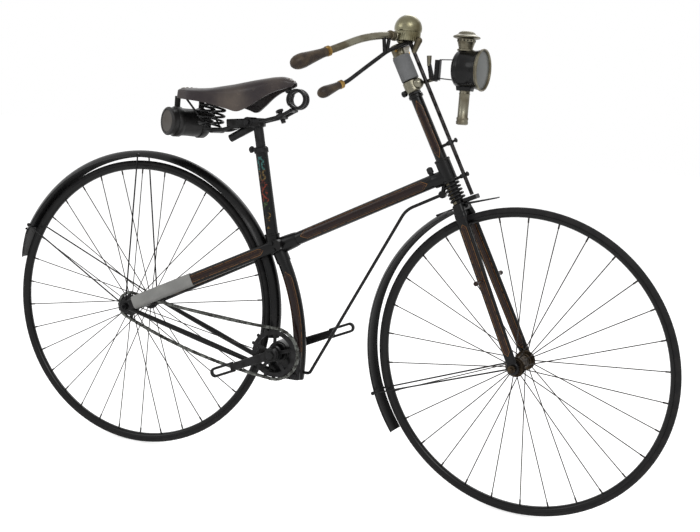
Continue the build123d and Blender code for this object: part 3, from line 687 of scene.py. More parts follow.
lug = Gather()
lugStart, lugEnd = frameSizes["lugStart"], frameSizes["lugEnd"]
runs = (lugStart, lugStart + 3, lugStart + 34, lugEnd - 8, lugEnd)
bar(lug, [onLong(run, 0, -drop) for run in runs], (19.5, 21, 20.5, 19, 17.6), 40)
seatFoot, seatTop = spot(*frameSizes["seatFoot"]), spot(*frameSizes["seatTop"])
seatWay = unit(seatTop - seatFoot)
bar(lug, [seatFoot - seatWay * 30 * mm, seatFoot + seatWay * 1 * mm], 18.5, 36)
collar(lug, seatFoot - seatWay * 3 * mm, seatFoot + seatWay * 2 * mm, 19.6, 36)


def onBend(share):
    # a point of the lower tube's arc: the angle runs from its foot to its top with the share
    foot, top = frameSizes["bendFoot"], frameSizes["bendTop"]
    angle = np.radians(foot + (top - foot) * np.asarray(share, float))
    arc = np.stack([np.cos(angle), np.zeros_like(angle), np.sin(angle)], -1)
    return spot(*frameSizes["bendCentre"]) + frameSizes["bendRadius"] * mm * arc


bar(lug, onBend(np.linspace(0.955, 1.10, 8)), 18.5, 36)
drum(lug, onLong(lugStart + 15.5), across, 41.5, 15.5, 36, 2)
for rise in (-9, 9):
    for side in (-1, 1):
        drum(lug, onLong(lugStart + 9, side * 43, rise), across, 3.2, 5.5, 6)
lug.build("crossingLug", "root", blackPaint, "black_enamel", ["crossing_lug"])

# Seat tube: black with a worn transfer of plain scrolls in teal, red, gold and green
transfer = {
    "bands": (  # run from the foot in millimetres, then the colour
        (16, 62, colour(150, 118, 62)), (62, 84, colour(74, 92, 58)), (84, 140, colour(128, 52, 36)),
        (140, 166, colour(122, 100, 60)), (166, 200, colour(66, 120, 116)),
    ),
    "halfAngle": 1.15,
}


def transferFinish(name, start, end):
    # scrolls: two waves that cross along the tube, thickened into leaves by noise, worn away in patches
    finish = Finish(name, **enamelLook["sockets"])
    way = unit(end - start)
    run = finish.along(start, way) / mm
    over = np.cross(across, way)
    angle = finish.along(start, over).math("ARCTAN2", finish.along(start, across).size())
    shade = finish.mix(finish.noise(38, 5).step(0.48, 0.78) * 0.5, enamelLook["black"], enamelLook["dust"])
    wave = (run * 0.16).math("SINE") * 0.42
    leaf = finish.noise(210, 3).step(0.40, 0.62)
    line = ((angle - wave).size().step(0.26, 0.12)).most((angle + wave).size().step(0.26, 0.12))
    marks = (line * leaf).most(finish.cells(150).step(0.22, 0.12) * leaf * 0.8)
    marks = marks * finish.noise(46, 4).step(0.36, 0.52) * angle.size().step(transfer["halfAngle"], 0.9)
    for low, high, tone in transfer["bands"]:
        inside = run.step(low - 2, low + 2) * run.step(high + 2, high - 2)
        shade = finish.mix((inside * marks).least(0.9), shade, tone)
    finish.set("Base Color", shade)
    finish.set("Roughness", finish.noise(55, 4) * 0.26 + 0.14)
    finish.bump(finish.noise(420, 2), 0.12, 0.0004)
    return finish.material


seatTube = Gather()
bar(seatTube, [seatFoot, seatTop], frameSizes["seatTube"], 44)
seatFinish = transferFinish("seatTubeEnamel", seatFoot, seatTop)
seatTube.build("seatTube", "root", seatFinish, "black_enamel", ["seat_tube"])

lowerTube = Gather()
bar(lowerTube, onBend(np.linspace(0, 0.99, 40)), frameSizes["lowerTube"], 44)
bendAngles = (frameSizes["bendFoot"], frameSizes["bendTop"])
lowerEdge = arcPanel(spot(*frameSizes["bendCentre"]), frameSizes["bendRadius"] * mm, bendAngles,
                     frameSizes["lowerTube"] * mm, 0.040, 0.72)
lowerTube.build("lowerTube", "root", enamelFinish("lowerTubeEnamel", lowerEdge), "black_enamel", ["lower_tube"])

# Seat post with its collar and bolt
post = {
    "radius": 12.5, "length": 63, "collarRadius": 18.5, "collar": (-16, -2),
    "boltDrop": 9, "boltRadius": 6.0, "boltReach": 33, "nut": (23, 31), "nutRadius": 9.0,
}
postTop = seatTop + seatWay * post["length"] * mm
seatPost = Gather()
bar(seatPost, [seatTop - seatWay * 2 * mm, postTop], post["radius"], 36)
seatPost.build("seatPost", "root", blackSteel, "black_enamel", ["seat_post"])
seatCollar = Gather()
collar(seatCollar, *(seatTop + seatWay * rise * mm for rise in post["collar"]), post["collarRadius"], 36, 1.5)
boltAt = seatTop - seatWay * post["boltDrop"] * mm
backward = np.array([-1.0, 0, 0])
collar(seatCollar, boltAt, boltAt + backward * post["boltReach"] * mm, post["boltRadius"], 20, 1)
collar(seatCollar, *(boltAt + backward * reach * mm for reach in post["nut"]), post["nutRadius"], 6, 1)
seatCollar.build("seatCollar", "root", blackSteel, "black_enamel", ["seat_collar"])
print("frame tubes made")

# Rear fork: flat blades with round edges, an eye on the axle, and a plain grey sleeve on the right blade
blade = {"back": (12, 80), "front": (440, 34), "wide": 15, "deep": 31, "eye": 17, "sleeve": (14, 190), "wall": 2}
blades = Gather()
bladeEnds = {}
for side in (-1, 1):
    (backRun, backSide), (frontRun, bladeFront) = blade["back"], blade["front"]
    start, end = onLong(backRun, side * backSide), onLong(frontRun, side * bladeFront)
    bladeEnds[side] = (start, end)
    beam(blades, start, end, stadium(blade["wide"], blade["deep"], 28))
    drum(blades, rearHub + across * side * backSide * mm, across, blade["wide"] / 2, blade["eye"], 36, 1.5)


def nearerEdge(left, right):
    # the edge of the left or of the right piece, whichever side of the middle the point is on
    def edge(finish):
        isLeft = finish.along((0, 0, 0), across).step(-0.001, 0.001)
        return isLeft * left(finish) + (1.0 - isLeft) * right(finish)

    return edge


bladeEdge = nearerEdge(*(barPanel(*bladeEnds[side], across, 0.0080, 0.030) for side in (1, -1)))
blades.build("rearBlades", "root", enamelFinish("bladeEnamel", bladeEdge), "black_enamel", ["rear_blades"])
sleeve = Gather()
start, end = bladeEnds[-1]
bladeWay = unit(end - start)
grown = stadium(blade["wide"] + 2 * blade["wall"], blade["deep"] + 2 * blade["wall"], 28)
low, high = (start + bladeWay * run * mm for run in blade["sleeve"])
beam(sleeve, low, high, grown)
sleeve.build("bladeSleeve", "root", sleeveGrey, "grey_sleeve", ["rear_blade_sleeve"])

# Bottom bracket: barrel and box, with the lower stays to the rear axle
bracket = {
    "barrel": 25, "half": 38, "box": (392, 479, 246, 318), "wide": 50,
    "stayFront": (396, 20, 262), "stayBack": (14, 80, 376), "stayRadii": (5.8, 7.5, 5.5),
}
housing = Gather()
drum(housing, crankCentre, across, bracket["half"], bracket["barrel"], 44, 2)
drum(housing, crankCentre, across, bracket["half"] - 9, bracket["barrel"] + 2, 44, 1)
left, right, foot, top = bracket["box"]
middle = (left + right) / 2
beam(housing, spot(middle, 0, foot), spot(middle, 0, top), roundedBox(bracket["wide"], right - left, 9, 32))
for side in (-1, 1):
    for x, z in ((left + 10, foot + 12), (right - 10, foot + 12), (right - 10, top - 12)):
        drum(housing, spot(x, side * (bracket["wide"] / 2 + 1.5), z), across, 2.5, 6.5, 6)
housing.build("bracketHousing", "root", blackPaint, "black_enamel", ["bottom_bracket"])
stays = Gather()
for side in (-1, 1):
    (x, y, z), (backX, backY, backZ) = bracket["stayFront"], bracket["stayBack"]
    front, back = spot(x, side * y, z), spot(backX, side * backY, backZ)
    bar(stays, [front + (back - front) * share for share in (0, 0.5, 1)], bracket["stayRadii"], 24)
stays.build("lowerStays", "root", blackPaint, "black_enamel", ["lower_stays"])
print("rear fork and bracket made")

# Chain: solid blocks joined by side plates, at equal steps along a closed loop whose two runs sag
chain = {
    "pitch": 25.4, "ringTeeth": 16, "hubTeeth": 8, "side": -56, "sagTop": 8, "sagFoot": 16, "links": 46,
    "high": 7.6, "block": 0.42,  # the block's share of each link
    "plateSide": 3.4, "plateThick": 1.3, "blockThick": 5.0, "pinHalf": 5.2, "pinRadius": 2.2,
    "ringTooth": (55, 65.5, 4.0), "hubTooth": (25, 36, 10.0),  # root and tip radius, first angle
}
ringRadius, hubRadius = (
    chain["pitch"] / 2 / math.sin(math.pi / chain[key]) for key in ("ringTeeth", "hubTeeth")
)
ringAt = np.array([crankCentre[0] - rearHub[0], crankCentre[2] - rearHub[2]]) / mm
span = np.linalg.norm(ringAt)
chainWay = ringAt / span
chainOver = np.array([-chainWay[1], chainWay[0]])
turnAngle = math.acos((hubRadius - ringRadius) / span)  # where the runs leave the two circles


def roundCentre(centre, radius, start, end, count):
    # an arc whose angle is measured from the way between the two centres
    turn = np.linspace(start, end, count)[:, None]
    return centre + radius * (np.cos(turn) * chainWay + np.sin(turn) * chainOver)


def sagged(first, last, sag, count=60):
    t = np.linspace(0, 1, count)[1:-1, None]
    return first + (last - first) * t - chainOver * 4 * t * (1 - t) * sag


bigArc = roundCentre(ringAt, ringRadius, turnAngle, -turnAngle, 80)
smallArc = roundCentre(np.zeros(2), hubRadius, 2 * math.pi - turnAngle, turnAngle, 60)
footRun, topRun = (sagged(bigArc[-1], smallArc[0], chain["sagFoot"]),
                   sagged(smallArc[-1], bigArc[0], chain["sagTop"]))
loop = np.concatenate([bigArc, footRun, smallArc, topRun])
loop = np.concatenate([loop, loop[:1]])
distance = np.concatenate([[0], np.cumsum(np.linalg.norm(np.diff(loop, axis=0), axis=1))])


def onLoop(step):
    # the point of the loop after a number of links, on the chain's own plane
    run = distance[-1] * ((step / chain["links"]) % 1.0)
    x, z = (np.interp(run, distance, loop[:, k]) for k in (0, 1))
    return rearHub + np.array([x, chain["side"], z]) * mm


links = Gather()
blockOutline = roundedBox(chain["blockThick"], chain["high"], 2.4, 12)
plateOutline = roundedBox(chain["plateThick"], chain["high"] - 1, 0.6, 12)
for number in range(chain["links"]):
    pin, second, after = (onLoop(number + step) for step in (0, chain["block"], 1))
    blockWay, plateWay = unit(second - pin) * 4 * mm, unit(after - second) * 3.5 * mm
    beam(links, pin - blockWay, second + blockWay, blockOutline)
    for side in (-1, 1):
        shift = across * side * chain["plateSide"] * mm
        beam(links, second - plateWay + shift, after + plateWay + shift, plateOutline)
    for place in (pin, second):
        drum(links, place, across, chain["pinHalf"], chain["pinRadius"], 10, 0.3)
links.build("blockChain", "root", chainSteel, "chain_steel", ["chain"])


def teeth(gather, centre, count, root, tip, start):
    outline = roundedBox(3.4, 12, 1.2, 12)
    for number in range(count):
        turn = math.radians(start + 360 * number / count)
        way = np.array([math.cos(turn), 0, math.sin(turn)])
        beam(gather, centre + way * root * mm, centre + way * tip * mm, outline, across, (1.0, 0.55))


ringTeeth = Gather()
ringCentre = crankCentre + across * chain["side"] * mm
teeth(ringTeeth, ringCentre, chain["ringTeeth"], *chain["ringTooth"])
ringTeeth.build("ringTeeth", "crankset", blackSteel, "chain_steel")
hubTeeth = Gather()
teeth(hubTeeth, rearHub + across * chain["side"] * mm, chain["hubTeeth"], *chain["hubTooth"])
hubTeeth.build("hubTeeth", "rear_wheel", blackSteel, "hub_steel")

# Cranks: a flat arm and round its slot a wall that is carried along a loop
cranks = {
    "angle": 204.3, "offset": 76, "thick": 10, "wide": 17, "eye": 17,
    "slot": (117, 174), "slotWide": 13, "wall": 6.5,
    "rings": ((84, 3.5, 11, 6), (68, 2.5, 17.5, 32)),  # distance aside, half thickness, radius, sides
}
crankArms = Gather()
slotFoot, slotEnd = cranks["slot"]
wallAt = (cranks["slotWide"] + cranks["wall"]) / 2
bend = np.linspace(math.pi / 2, -math.pi / 2, 13)
slotLine = [(slotEnd - wallAt + wallAt * math.cos(a), wallAt * math.sin(a)) for a in bend]
slotLine = [(slotFoot - 8, wallAt), *slotLine, (slotFoot - 8, -wallAt)]
armOutline = roundedBox(cranks["thick"], cranks["wide"], 3, 24)
wallOutline = roundedBox(cranks["thick"], cranks["wall"], 1.6, 16) * mm
for side in (-1, 1):
    turn = math.radians(cranks["angle"]) + (0 if side * chain["side"] > 0 else math.pi)
    way = np.array([math.cos(turn), 0, math.sin(turn)])
    over = np.cross(across, way)
    eye = crankCentre + across * side * cranks["offset"] * mm
    drum(crankArms, eye, across, cranks["thick"] * 0.6, cranks["eye"], 32, 1.5)
    beam(crankArms, eye, eye + way * slotFoot * mm, armOutline, across, (1.35, 1.15))
    path = np.array([eye + (way * run + over * rise) * mm for run, rise in slotLine])
    crankArms.grid(sweep(path, wallOutline, 1.0, across))
crankArms.build("crankArms", "crankset", blackSteel, "black_enamel", ["cranks"])

crankTrim = Gather()
for side in (-1, 1):
    for reach, half, radius, sides in cranks["rings"]:
        drum(crankTrim, crankCentre + across * side * reach * mm, across, half, radius, sides, 1)
crankTrim.build("crankNuts", "crankset", blackSteel, "hub_steel")
print("chain made")

# Mudguards: an arched strip, its height a parabola across, carried round part of a circle
guards = {
    "half": 26.0, "wall": 1.6, "stay": 2.0, "lap": 6.0,
    "rear": {"radius": 407.5, "shift": (1.5, 0.5), "from": -5.5, "to": 158.0, "rise": 16.5},
    "front": {"radius": 398.0, "shift": (-6.8, 1.0), "from": 120.3, "to": 217.2, "rise": 12.0},
}


def archOutline(half, rise, wall):
    y = np.linspace(-1, 1, 17)
    outer = np.stack([y * half, rise * y**2], -1)
    inner = np.stack([y * (half - wall * 0.6), rise * y**2 * 0.96 + wall], -1)
    return np.concatenate([outer, inner[::-1]])


def carried(wheel, radius, shift, start, end, outline, count=96):
    path = np.array([wheelPoint(wheel, radius, angle, 0, shift) for angle in np.linspace(start, end, count)])
    return sweep(path, outline * mm, 1.0, wheel["turn"] @ across)


for key, body in (("rear", "root"), ("front", "steering")):
    guard, wheel = guards[key], wheels[key]
    strip = Gather()
    arch = archOutline(guards["half"], guard["rise"], guards["wall"])
    strip.grid(carried(wheel, guard["radius"], guard["shift"], guard["from"], guard["to"], arch))
    for side in (-1, 1):
        edge, edgeSide = guard["radius"] - guard["rise"], side * (guards["half"] - 0.6)
        angles = np.linspace(guard["from"], guard["to"], 80)
        bar(strip, [wheelPoint(wheel, edge, angle, edgeSide, guard["shift"]) for angle in angles], 1.5, 8)
    strip.build(key + "Guard", body, blackPaint, "black_enamel", [key + "_guard"], sharp=50)

guardStays = {
    # body, distances of a root from the wheel's middle and from its axis, angles at the hub and at the guard
    "rear": ("root", 80, 17.5, ((93.4, 93.4), (154.0, 154.0))),
    "front": ("steering", 51, 15.5, ((201.0, 201.3),)),
}
for key, (body, hubSide, reach, angles) in guardStays.items():
    rods = Gather()
    guard, wheel = guards[key], wheels[key]
    tipSide = guards["half"] + guards["stay"] + 0.3
    tipRadius = guard["radius"] - guard["rise"] + guards["lap"]
    for side in (-1, 1):
        for hubAngle, guardAngle in angles:
            tip = wheelPoint(wheel, tipRadius, guardAngle, side * tipSide, guard["shift"])
            root = wheelPoint(wheel, reach, hubAngle, side * hubSide)
            bar(rods, [root, tip], guards["stay"], 12)
            drum(rods, tip + (root - tip) * 0.006, wheel["turn"] @ across, 2.6, 4.6, 20, 0.6)
    rods.build(key + "GuardStays", body, blackPaint, "black_enamel", [key + "_guard_stays"])

# Flap: a leather sheet that bends with the guard's end and narrows the gap to the tyre at its foot
flap = {
    "half": 27.0, "wall": 2.4, "top": (402.5, 156.0), "foot": (388.5, 167.9), "bow": 7.0,
    "rivet": (408.5, 156.6, 16), "rivetDrop": 5,  # radius, angle and distance aside
}
t = np.linspace(0, 1, 14)
radius = flap["top"][0] + (flap["foot"][0] - flap["top"][0]) * t
angle = flap["top"][1] + (flap["foot"][1] - flap["top"][1]) * t
path = np.array([wheelPoint(wheels["rear"], r, a) for r, a in zip(radius, angle)])
flapPiece = Gather()
flapScale = np.interp(t, (0, 0.15, 0.85, 1), (0.90, 1.0, 1.0, 0.93))
flapPiece.grid(sweep(path, archOutline(flap["half"], flap["bow"], flap["wall"]) * mm, flapScale, across))
flapPiece.build("mudFlap", "root", bagLeather, "bag_leather", ["mud_flap"])
rivets = Gather()
rivetRadius, rivetAngle, rivetSide = flap["rivet"]
for side in (-1, 0, 1):
    at = wheelPoint(wheels["rear"], rivetRadius - flap["rivetDrop"] * abs(side), rivetAngle, side * rivetSide)
    drum(rivets, at, at - rearHub, 1.2, 3.2, 16, 0.5)
rivets.build("flapRivets", "root", blackSteel, "black_enamel")
print("guards made")

# Tie rod from an eye below the head to the bracket's box
tie = {
    "eye": (-27, -30.4), "bend": (-26.4, -130.8), "corner": (499, 0, 263.5), "foot": (476, 0, 263.5),
    "reaches": (20, 7), "radius": 4,
}
tieCorners = [straight(*tie["eye"]), straight(*tie["bend"]), spot(*tie["corner"]), spot(*tie["foot"])]
tieRod = Gather()
bar(tieRod, bentPath(tieCorners, tie["reaches"]), tie["radius"], 18)
tieRod.build("tieRod", "root", blackPaint, "black_enamel", ["tie_rod"])

# Head: tube with its rings, the lug round its foot with the eye for the tie rod, and the oiler's cap
head = {"radius": 14.5, "foot": -9, "top": 212, "lugTop": 52, "lugRadius": 18.5, "ringRadius": 18, "nutRadius": 16}
headTube = Gather()
bar(headTube, [straight(head["foot"]), straight(head["top"])], head["radius"], 40)
panelEnds = (straight(head[key] - 2) for key in ("lugTop", "top"))
headEdge = tubePanel(*panelEnds, head["radius"] * mm, 0.006, 0.62, 2.2)
headTube.build("headTube", "root", enamelFinish("headTubeEnamel", headEdge), "black_enamel", ["head_tube"])
headLug = Gather()
collar(headLug, straight(head["foot"] + 0.2), straight(head["lugTop"]), head["lugRadius"], 40, 2)
collar(headLug, straight(head["foot"]), straight(head["foot"] + 7), head["lugRadius"] + 1.6, 40, 1.2)
collar(headLug, straight(head["lugTop"] - 6), straight(head["lugTop"]), head["lugRadius"] + 1.2, 40, 1.2)
bar(headLug, [onLong(neckRun - run) for run in (38, 34, 14, 2)], (17.8, 18.6, 18.4, 15), 36)
collar(headLug, straight(head["top"]), straight(head["top"] + 8), head["ringRadius"], 40, 1.2)
collar(headLug, straight(head["top"] + 8), straight(head["top"] + 15), head["nutRadius"], 8, 1)
eye = straight(*tie["eye"])
drum(headLug, eye, across, 7, 9.5, 24, 1)
bar(headLug, [straight(-2, -14), eye], 5.5, 16)
headLug.build("headLug", "root", blackPaint, "black_enamel", ["head_lug"])
oiler = Gather()
oilerFoot = onLong(neckRun - 38, 0, 13)
oilerProfile = [(0, 0.3), (0, 9), (4, 9), (5, 6.2), (8, 6.2), (9, 8), (20, 8), (22, 6.5), (24, 3), (24, 0.3)]
oiler.grid(lathe(oilerFoot, longUp, oilerProfile, 24))
oiler.build("headOiler", "root", blackSteel, "black_enamel")
print("head made")

# Spring below the head: round wire along a helix about a core
spring = {
    "radius": 17.2, "wire": 3.3, "turns": 5.0, "foot": -58.5, "top": -13.5, "core": (-64, -9), "coreRadius": 11.5,
}
coil = Gather()
line = helix(steered(spring["foot"]), steered(spring["top"]), (spring["radius"],), spring["turns"], 200)
coil.grid(sweep(line, circle(10) * spring["wire"] * mm, reference=axisUp))
bar(coil, [steered(up) for up in spring["core"]], spring["coreRadius"], 24)
coil.build("headCoil", "steering", blackPaint, "spring_steel", ["head_spring"])

# Fork: crown with its shoulders, and flat blades to the front axle, with a foot peg on each
fork = {
    "crown": (-84, -62), "crownRadius": 19, "topSide": 28, "footSide": 51, "wide": 13, "deep": 27, "eye": 15,
    "shoulderFoot": -96, "peg": 170,
    "pegProfile": ((0, 0.3), (0, 7), (9, 7), (10, 4.2), (40, 4.2), (41, 5.6), (46, 5.6), (47, 3), (47, 0.3)),
}
crown = Gather()
collar(crown, steered(fork["crown"][0] + 4), steered(fork["crown"][1]), fork["crownRadius"], 40, 2)
beam(crown, steered(-75, 2, -22), steered(-75, 2, 22), roundedBox(26, 18, 6, 24), frontAhead)
for side in (-1, 1):
    beam(crown, steered(fork["shoulderFoot"], 2, side * fork["topSide"]), steered(-66, 2, side * 22),
         stadium(17, 31, 28), frontSide, (1.0, 0.86))
frontGuard = guards["front"]
clipTip = wheelPoint(wheels["front"], frontGuard["radius"] + 2, frontGuard["from"] + 5, 0, frontGuard["shift"])
beam(crown, steered(-70, -12), clipTip, roundedBox(16, 4, 1.2, 12), frontSide)
crown.build("forkCrown", "steering", blackPaint, "black_enamel", ["fork_crown"])
forkBlades = Gather()
forkEnds = {}
bladeOutline = stadium(fork["wide"], fork["deep"], 28) * mm
for side in (-1, 1):
    axleEye = wheelPoint(wheels["front"], 0, 0, side * fork["footSide"])
    top = steered(fork["crown"][0], 2, side * fork["topSide"])
    forkEnds[side] = (axleEye, top)
    way = unit(top - axleEye)
    path = np.array([axleEye + way * run * mm for run in (8, 60, 200)] + [top])
    forkBlades.grid(sweep(path, bladeOutline, (0.92, 0.95, 1.0, 1.04), frontSide))
    drum(forkBlades, axleEye, frontSide, fork["wide"] / 2, fork["eye"], 32, 1.5)
    peg = top - way * fork["peg"] * mm
    forkBlades.grid(lathe(peg, frontSide * side, fork["pegProfile"], 18))
forkEdge = nearerEdge(*(barPanel(*forkEnds[side], frontSide, 0.0072, 0.030) for side in (1, -1)))
forkBlades.build("forkBlades", "steering", enamelFinish("forkEnamel", forkEdge), "black_enamel", ["fork_blades"])
print("fork made")

# Stem: grey sleeve, nickel top with its pin, and the clamp that carries the lamp's bracket
stem = {
    "clamp": (227.5, 257), "clampRadius": 19, "sleeve": (257.5, 320), "sleeveRadius": 21.5, "sleeveAhead": 3,
    "top": (320, 350), "topRadius": 14.5,
}
stemSleeve = Gather()
sleeveEnds = (steered(up, stem["sleeveAhead"]) for up in stem["sleeve"])
collar(stemSleeve, *sleeveEnds, stem["sleeveRadius"], 40, 1.5)
stemSleeve.build("stemSleeve", "steering", stemGrey, "grey_sleeve", ["stem_sleeve"])

# Handlebar: two halves bent down and back from a ball on the stem, from millimetres beside its middle
handle = {
    "centre": (673, 0, 1117), "radius": 8.8, "ball": 15,
    "points": ((0, 0, 0), (-8, -60, 6), (-42, -120, -3), (-76, -186, -30), (-130, -297, -72)),
    "reaches": (30, 34, 18),
    "grip": {"start": 22, "small": 11.0, "large": 17.4},
}
lever = {
    "points": ((-9, -58, -32), (-29, -128, -72), (-51, -175, -106), (-79, -256, -136)),
    "reaches": (24, 16), "radius": 4.8,
    "grip": {"start": 16, "small": 9.0, "large": 13.2},
}


def besideBar(points):
    return turned(spot(*handle["centre"]) + np.asarray(points, float) * mm)


bars = Gather()
for side in (-1, 1):
    path = besideBar(mirrored(handle["points"], side))
    end = path[3] + unit(path[4] - path[3]) * (handle["grip"]["start"] + 4) * mm
    bar(bars, bentPath([*path[:4], end], handle["reaches"]), handle["radius"], 24)
barCentre = besideBar((0, 0, 0))
bars.grid(lathe(barCentre, axisUp, ballProfile(handle["ball"], handle["ball"], 18), 32))
collar(bars, *(steered(up) for up in stem["top"]), stem["topRadius"], 36, 1.5)
collar(bars, steered(stem["sleeve"][1] - 1), steered(stem["sleeve"][1] + 4), 17.5, 36, 1.2)
for place in (besideBar((-4, -36, 4)), besideBar((-7, -52, 5.6))):
    drum(bars, place, besideBar((-8, -60, 6)) - barCentre, 2.6, 11.6, 28, 1)
bars.build("handlebar", "steering", nickel, "nickel", ["handlebar"])
pin = Gather()
drum(pin, steered(334, 4, -15), frontSide, 4, 3.4, 16, 0.8)
pin.build("stemPin", "steering", gilt, "nickel")


def gripProfile(length, small, large):
    # a straight neck, a slow swell to the large radius and a round end
    t = np.linspace(0, 1, 34)
    body = small + (large - small) * np.clip((t - 0.18) / 0.50, 0, 1) ** 1.15
    end = np.sqrt(np.clip(1 - np.clip((t - 0.74) / 0.26, 0, 1) ** 2.3, 0, 1))
    return [(0, 0.5)] + [(t[k] * length, max(body[k] * end[k], 0.4)) for k in range(34)]


grips, ferrules = Gather(), Gather()
for piece, sides in ((handle, (-1, 1)), (lever, (1,))):
    size = piece["grip"]
    for side in sides:
        ends = besideBar(mirrored(piece["points"][-2:], -side if piece is handle else side))
        way = unit(ends[1] - ends[0])
        start = ends[0] + way * size["start"] * mm
        length = np.linalg.norm(ends[1] - start) / mm
        grips.grid(lathe(start, way, gripProfile(length, size["small"], size["large"]), 32))
        collar(ferrules, start - way * 2 * mm, start + way * 9 * mm, size["small"] + 1.1, 28, 1.4)
grips.build("hornGrips", "steering", horn, "grip_horn", ["grips"])
ferrules.build("gripFerrules", "steering", gilt, "nickel")
print("bar and grips made")

# Brake: lever, the rod down to the spoon on the tyre, its clips with thumb screws
brake = {
    "rod": ((-55, 38.2), (341, 39.2)), "rodRadius": 4.8, "clips": ((79.4, 41, 55), (-5.2, 41, 50)),
    "knob": (717, 0, 1113), "knobRadius": 9, "knobFoot": (706, 0, 1084),
    "spoonArm": ((-61, 15.6), (-63, 50)), "spoon": ((-70, 20), (-86, 96)),
    "forks": (((-12, -74, 0), (-11, -68, -36)), ((-7, -56, 0), (-8, -62, -33))),  # from the bar to the lever
}
brakeRod = Gather()
bar(brakeRod, [steered(*place) for place in brake["rod"]], brake["rodRadius"], 20)
brakeRod.build("brakeRod", "steering", rodSteel, "black_enamel", ["brake_rod"])
clips = Gather()
for up, low, high in brake["clips"]:
    beam(clips, steered(up, 14), steered(up, low), roundedBox(9, 7, 2, 16), frontSide)
    drum(clips, steered(up, 36), axisUp, 5, 8.2, 24, 1)
    collar(clips, steered(up, low), steered(up, high), 3.0, 16, 0.6)
    collar(clips, steered(up, high - 5), steered(up, high), 6.0, 12, 1.5)
collar(clips, steered(335, 36), steered(349, 36), 9.5, 24, 1.5)
beam(clips, steered(342, 12), steered(342, 34), roundedBox(12, 12, 3, 16), frontSide)
clips.build("rodClips", "steering", blackSteel, "black_enamel")
knob = Gather()
knobAt = turned(spot(*brake["knob"]))
knob.grid(lathe(knobAt, axisUp, ballProfile(brake["knobRadius"], brake["knobRadius"], 14), 24))
bar(knob, [knobAt, turned(spot(*brake["knobFoot"]))], (8.5, 6.0), 20)
knob.build("rodKnob", "steering", nickel, "nickel")
brakeLever = Gather()
leverPath = besideBar(lever["points"])
leverEnd = leverPath[2] + unit(leverPath[3] - leverPath[2]) * (lever["grip"]["start"] + 4) * mm
rodTop = steered(341, 34, -8)
leverLine = bentPath([rodTop, *leverPath[:3], leverEnd], (12, *lever["reaches"]))
bar(brakeLever, leverLine, lever["radius"], 20)
for place, towards in brake["forks"]:
    bar(brakeLever, besideBar([place, towards]), 4.6, 16)
brakeLever.build("brakeLever", "steering", blackSteel, "black_enamel", ["brake_lever"])
spoon = Gather()
beam(spoon, *(steered(*place) for place in brake["spoonArm"]), roundedBox(24, 11, 3, 20), frontSide)
low, high = (steered(*place) for place in brake["spoon"])
beam(spoon, low, high, roundedBox(34, 5, 2, 20), frontSide, (1.0, 0.62))
spoon.build("brakeSpoon", "steering", blackPaint, "black_enamel", ["brake_spoon"])
print("brake made")

# Bell: a dome over a ribbed drum
bell = {"from": (12, 6, 23), "radius": 33.5, "drum": 32.0, "cut": -7, "foot": -29, "ribs": 40, "ribHeight": 0.8}
bellCentre = besideBar(bell["from"])
upWay = np.array([0.0, 0, 1.0])
dome = [(bell["radius"] * math.sin(a), max(bell["radius"] * math.cos(a), 0.3))
        for a in np.linspace(-0.18, 1.56, 26)]
bellPiece = Gather().grid(lathe(bellCentre, upWay, [(bell["cut"], 0.5), (bell["cut"], bell["drum"]), *dome], 64))
sides = bell["ribs"] * 4
ribRise = np.tile([0, bell["ribHeight"], bell["ribHeight"], 0], bell["ribs"])[:, None]
ribbed = circle(sides) * (1 + ribRise / bell["drum"])
drumRises = (bell["foot"], bell["foot"] + 1, -12, bell["cut"] + 0.2)
drumPath = np.array([bellCentre + upWay * rise * mm for rise in drumRises])
bellPiece.grid(sweep(drumPath, ribbed * (bell["drum"] - 1.6) * mm, (0.96, 1.0, 1.0, 1.0), (1, 0, 0)))
bellPiece.build("bell", "steering", brightNickel, "nickel", ["bell"], sharp=50)

# Lamp: drum, ring round the sunk glass, chimney, candle tube, and a dark box between drum and tube
lamp = {
    "centre": (830, 10, 1052), "chimneyRun": 4.0, "candleRun": 11.0, "boxRun": 11.0, "box": (-38, -51),
    "holeShadeDiscs": 16, "holeRise": 66, "holeReach": 21.5,
    # profiles, as (run, radius)
    "drum": ((-16, 0.5), (-16, 30), (-14.5, 37), (-11, 41.5), (-6, 43.8), (-2, 44.4), (0, 45.6), (4, 45.6),
             (6, 44.4), (38, 44.8), (40, 46.2), (45, 46.6), (48.5, 46.2), (48.5, 0.5)),
    "ring": ((40.5, 45.6), (47.5, 46.8), (49, 49.0), (51.5, 49.8), (53.8, 49.2), (54.6, 47.6), (53.6, 46.2),
             (51, 45.4), (48.6, 45.0), (41, 44.6), (40.5, 45.6)),
    "glass": ((48.6, 0.4), (48.6, 44.9), (48.9, 44.9), (50.0, 38), (51.2, 24), (51.7, 10), (51.8, 0.4)),
    "chimney": ((42, 0.5), (42, 20), (45.5, 20), (46.5, 16.6), (50, 17.0), (62, 20.6), (63, 21.6), (69, 21.6),
                (70, 24), (72, 31), (74, 32.4), (76, 31.5), (79, 25), (81, 21), (84, 19.5), (86.5, 16), (88, 12),
                (88.4, 0.5)),
    "candle": ((-49, 0.5), (-49, 12.6), (-56, 12.6), (-58, 13.6), (-60, 12.6), (-112, 12.4), (-114, 14),
               (-118, 14.4), (-120, 13.2), (-123, 14.4), (-129, 14.2), (-131, 10), (-131, 0.5)),
}
lampCentre = turned(spot(*lamp["centre"]))
lampWay = turnMatrix @ np.array([1.0, 0, 0])
chimneyFoot, candleTop, boxAt = (
    lampCentre + lampWay * lamp[key] * mm for key in ("chimneyRun", "candleRun", "boxRun")
)


def lampPiece(name, origin, way, profile, sides, finish, slot, replaced, caps=True):
    shape = Gather().grid(lathe(origin, way, lamp[profile], sides), caps=caps)
    shape.build(name, "steering", finish, slot, replaced)


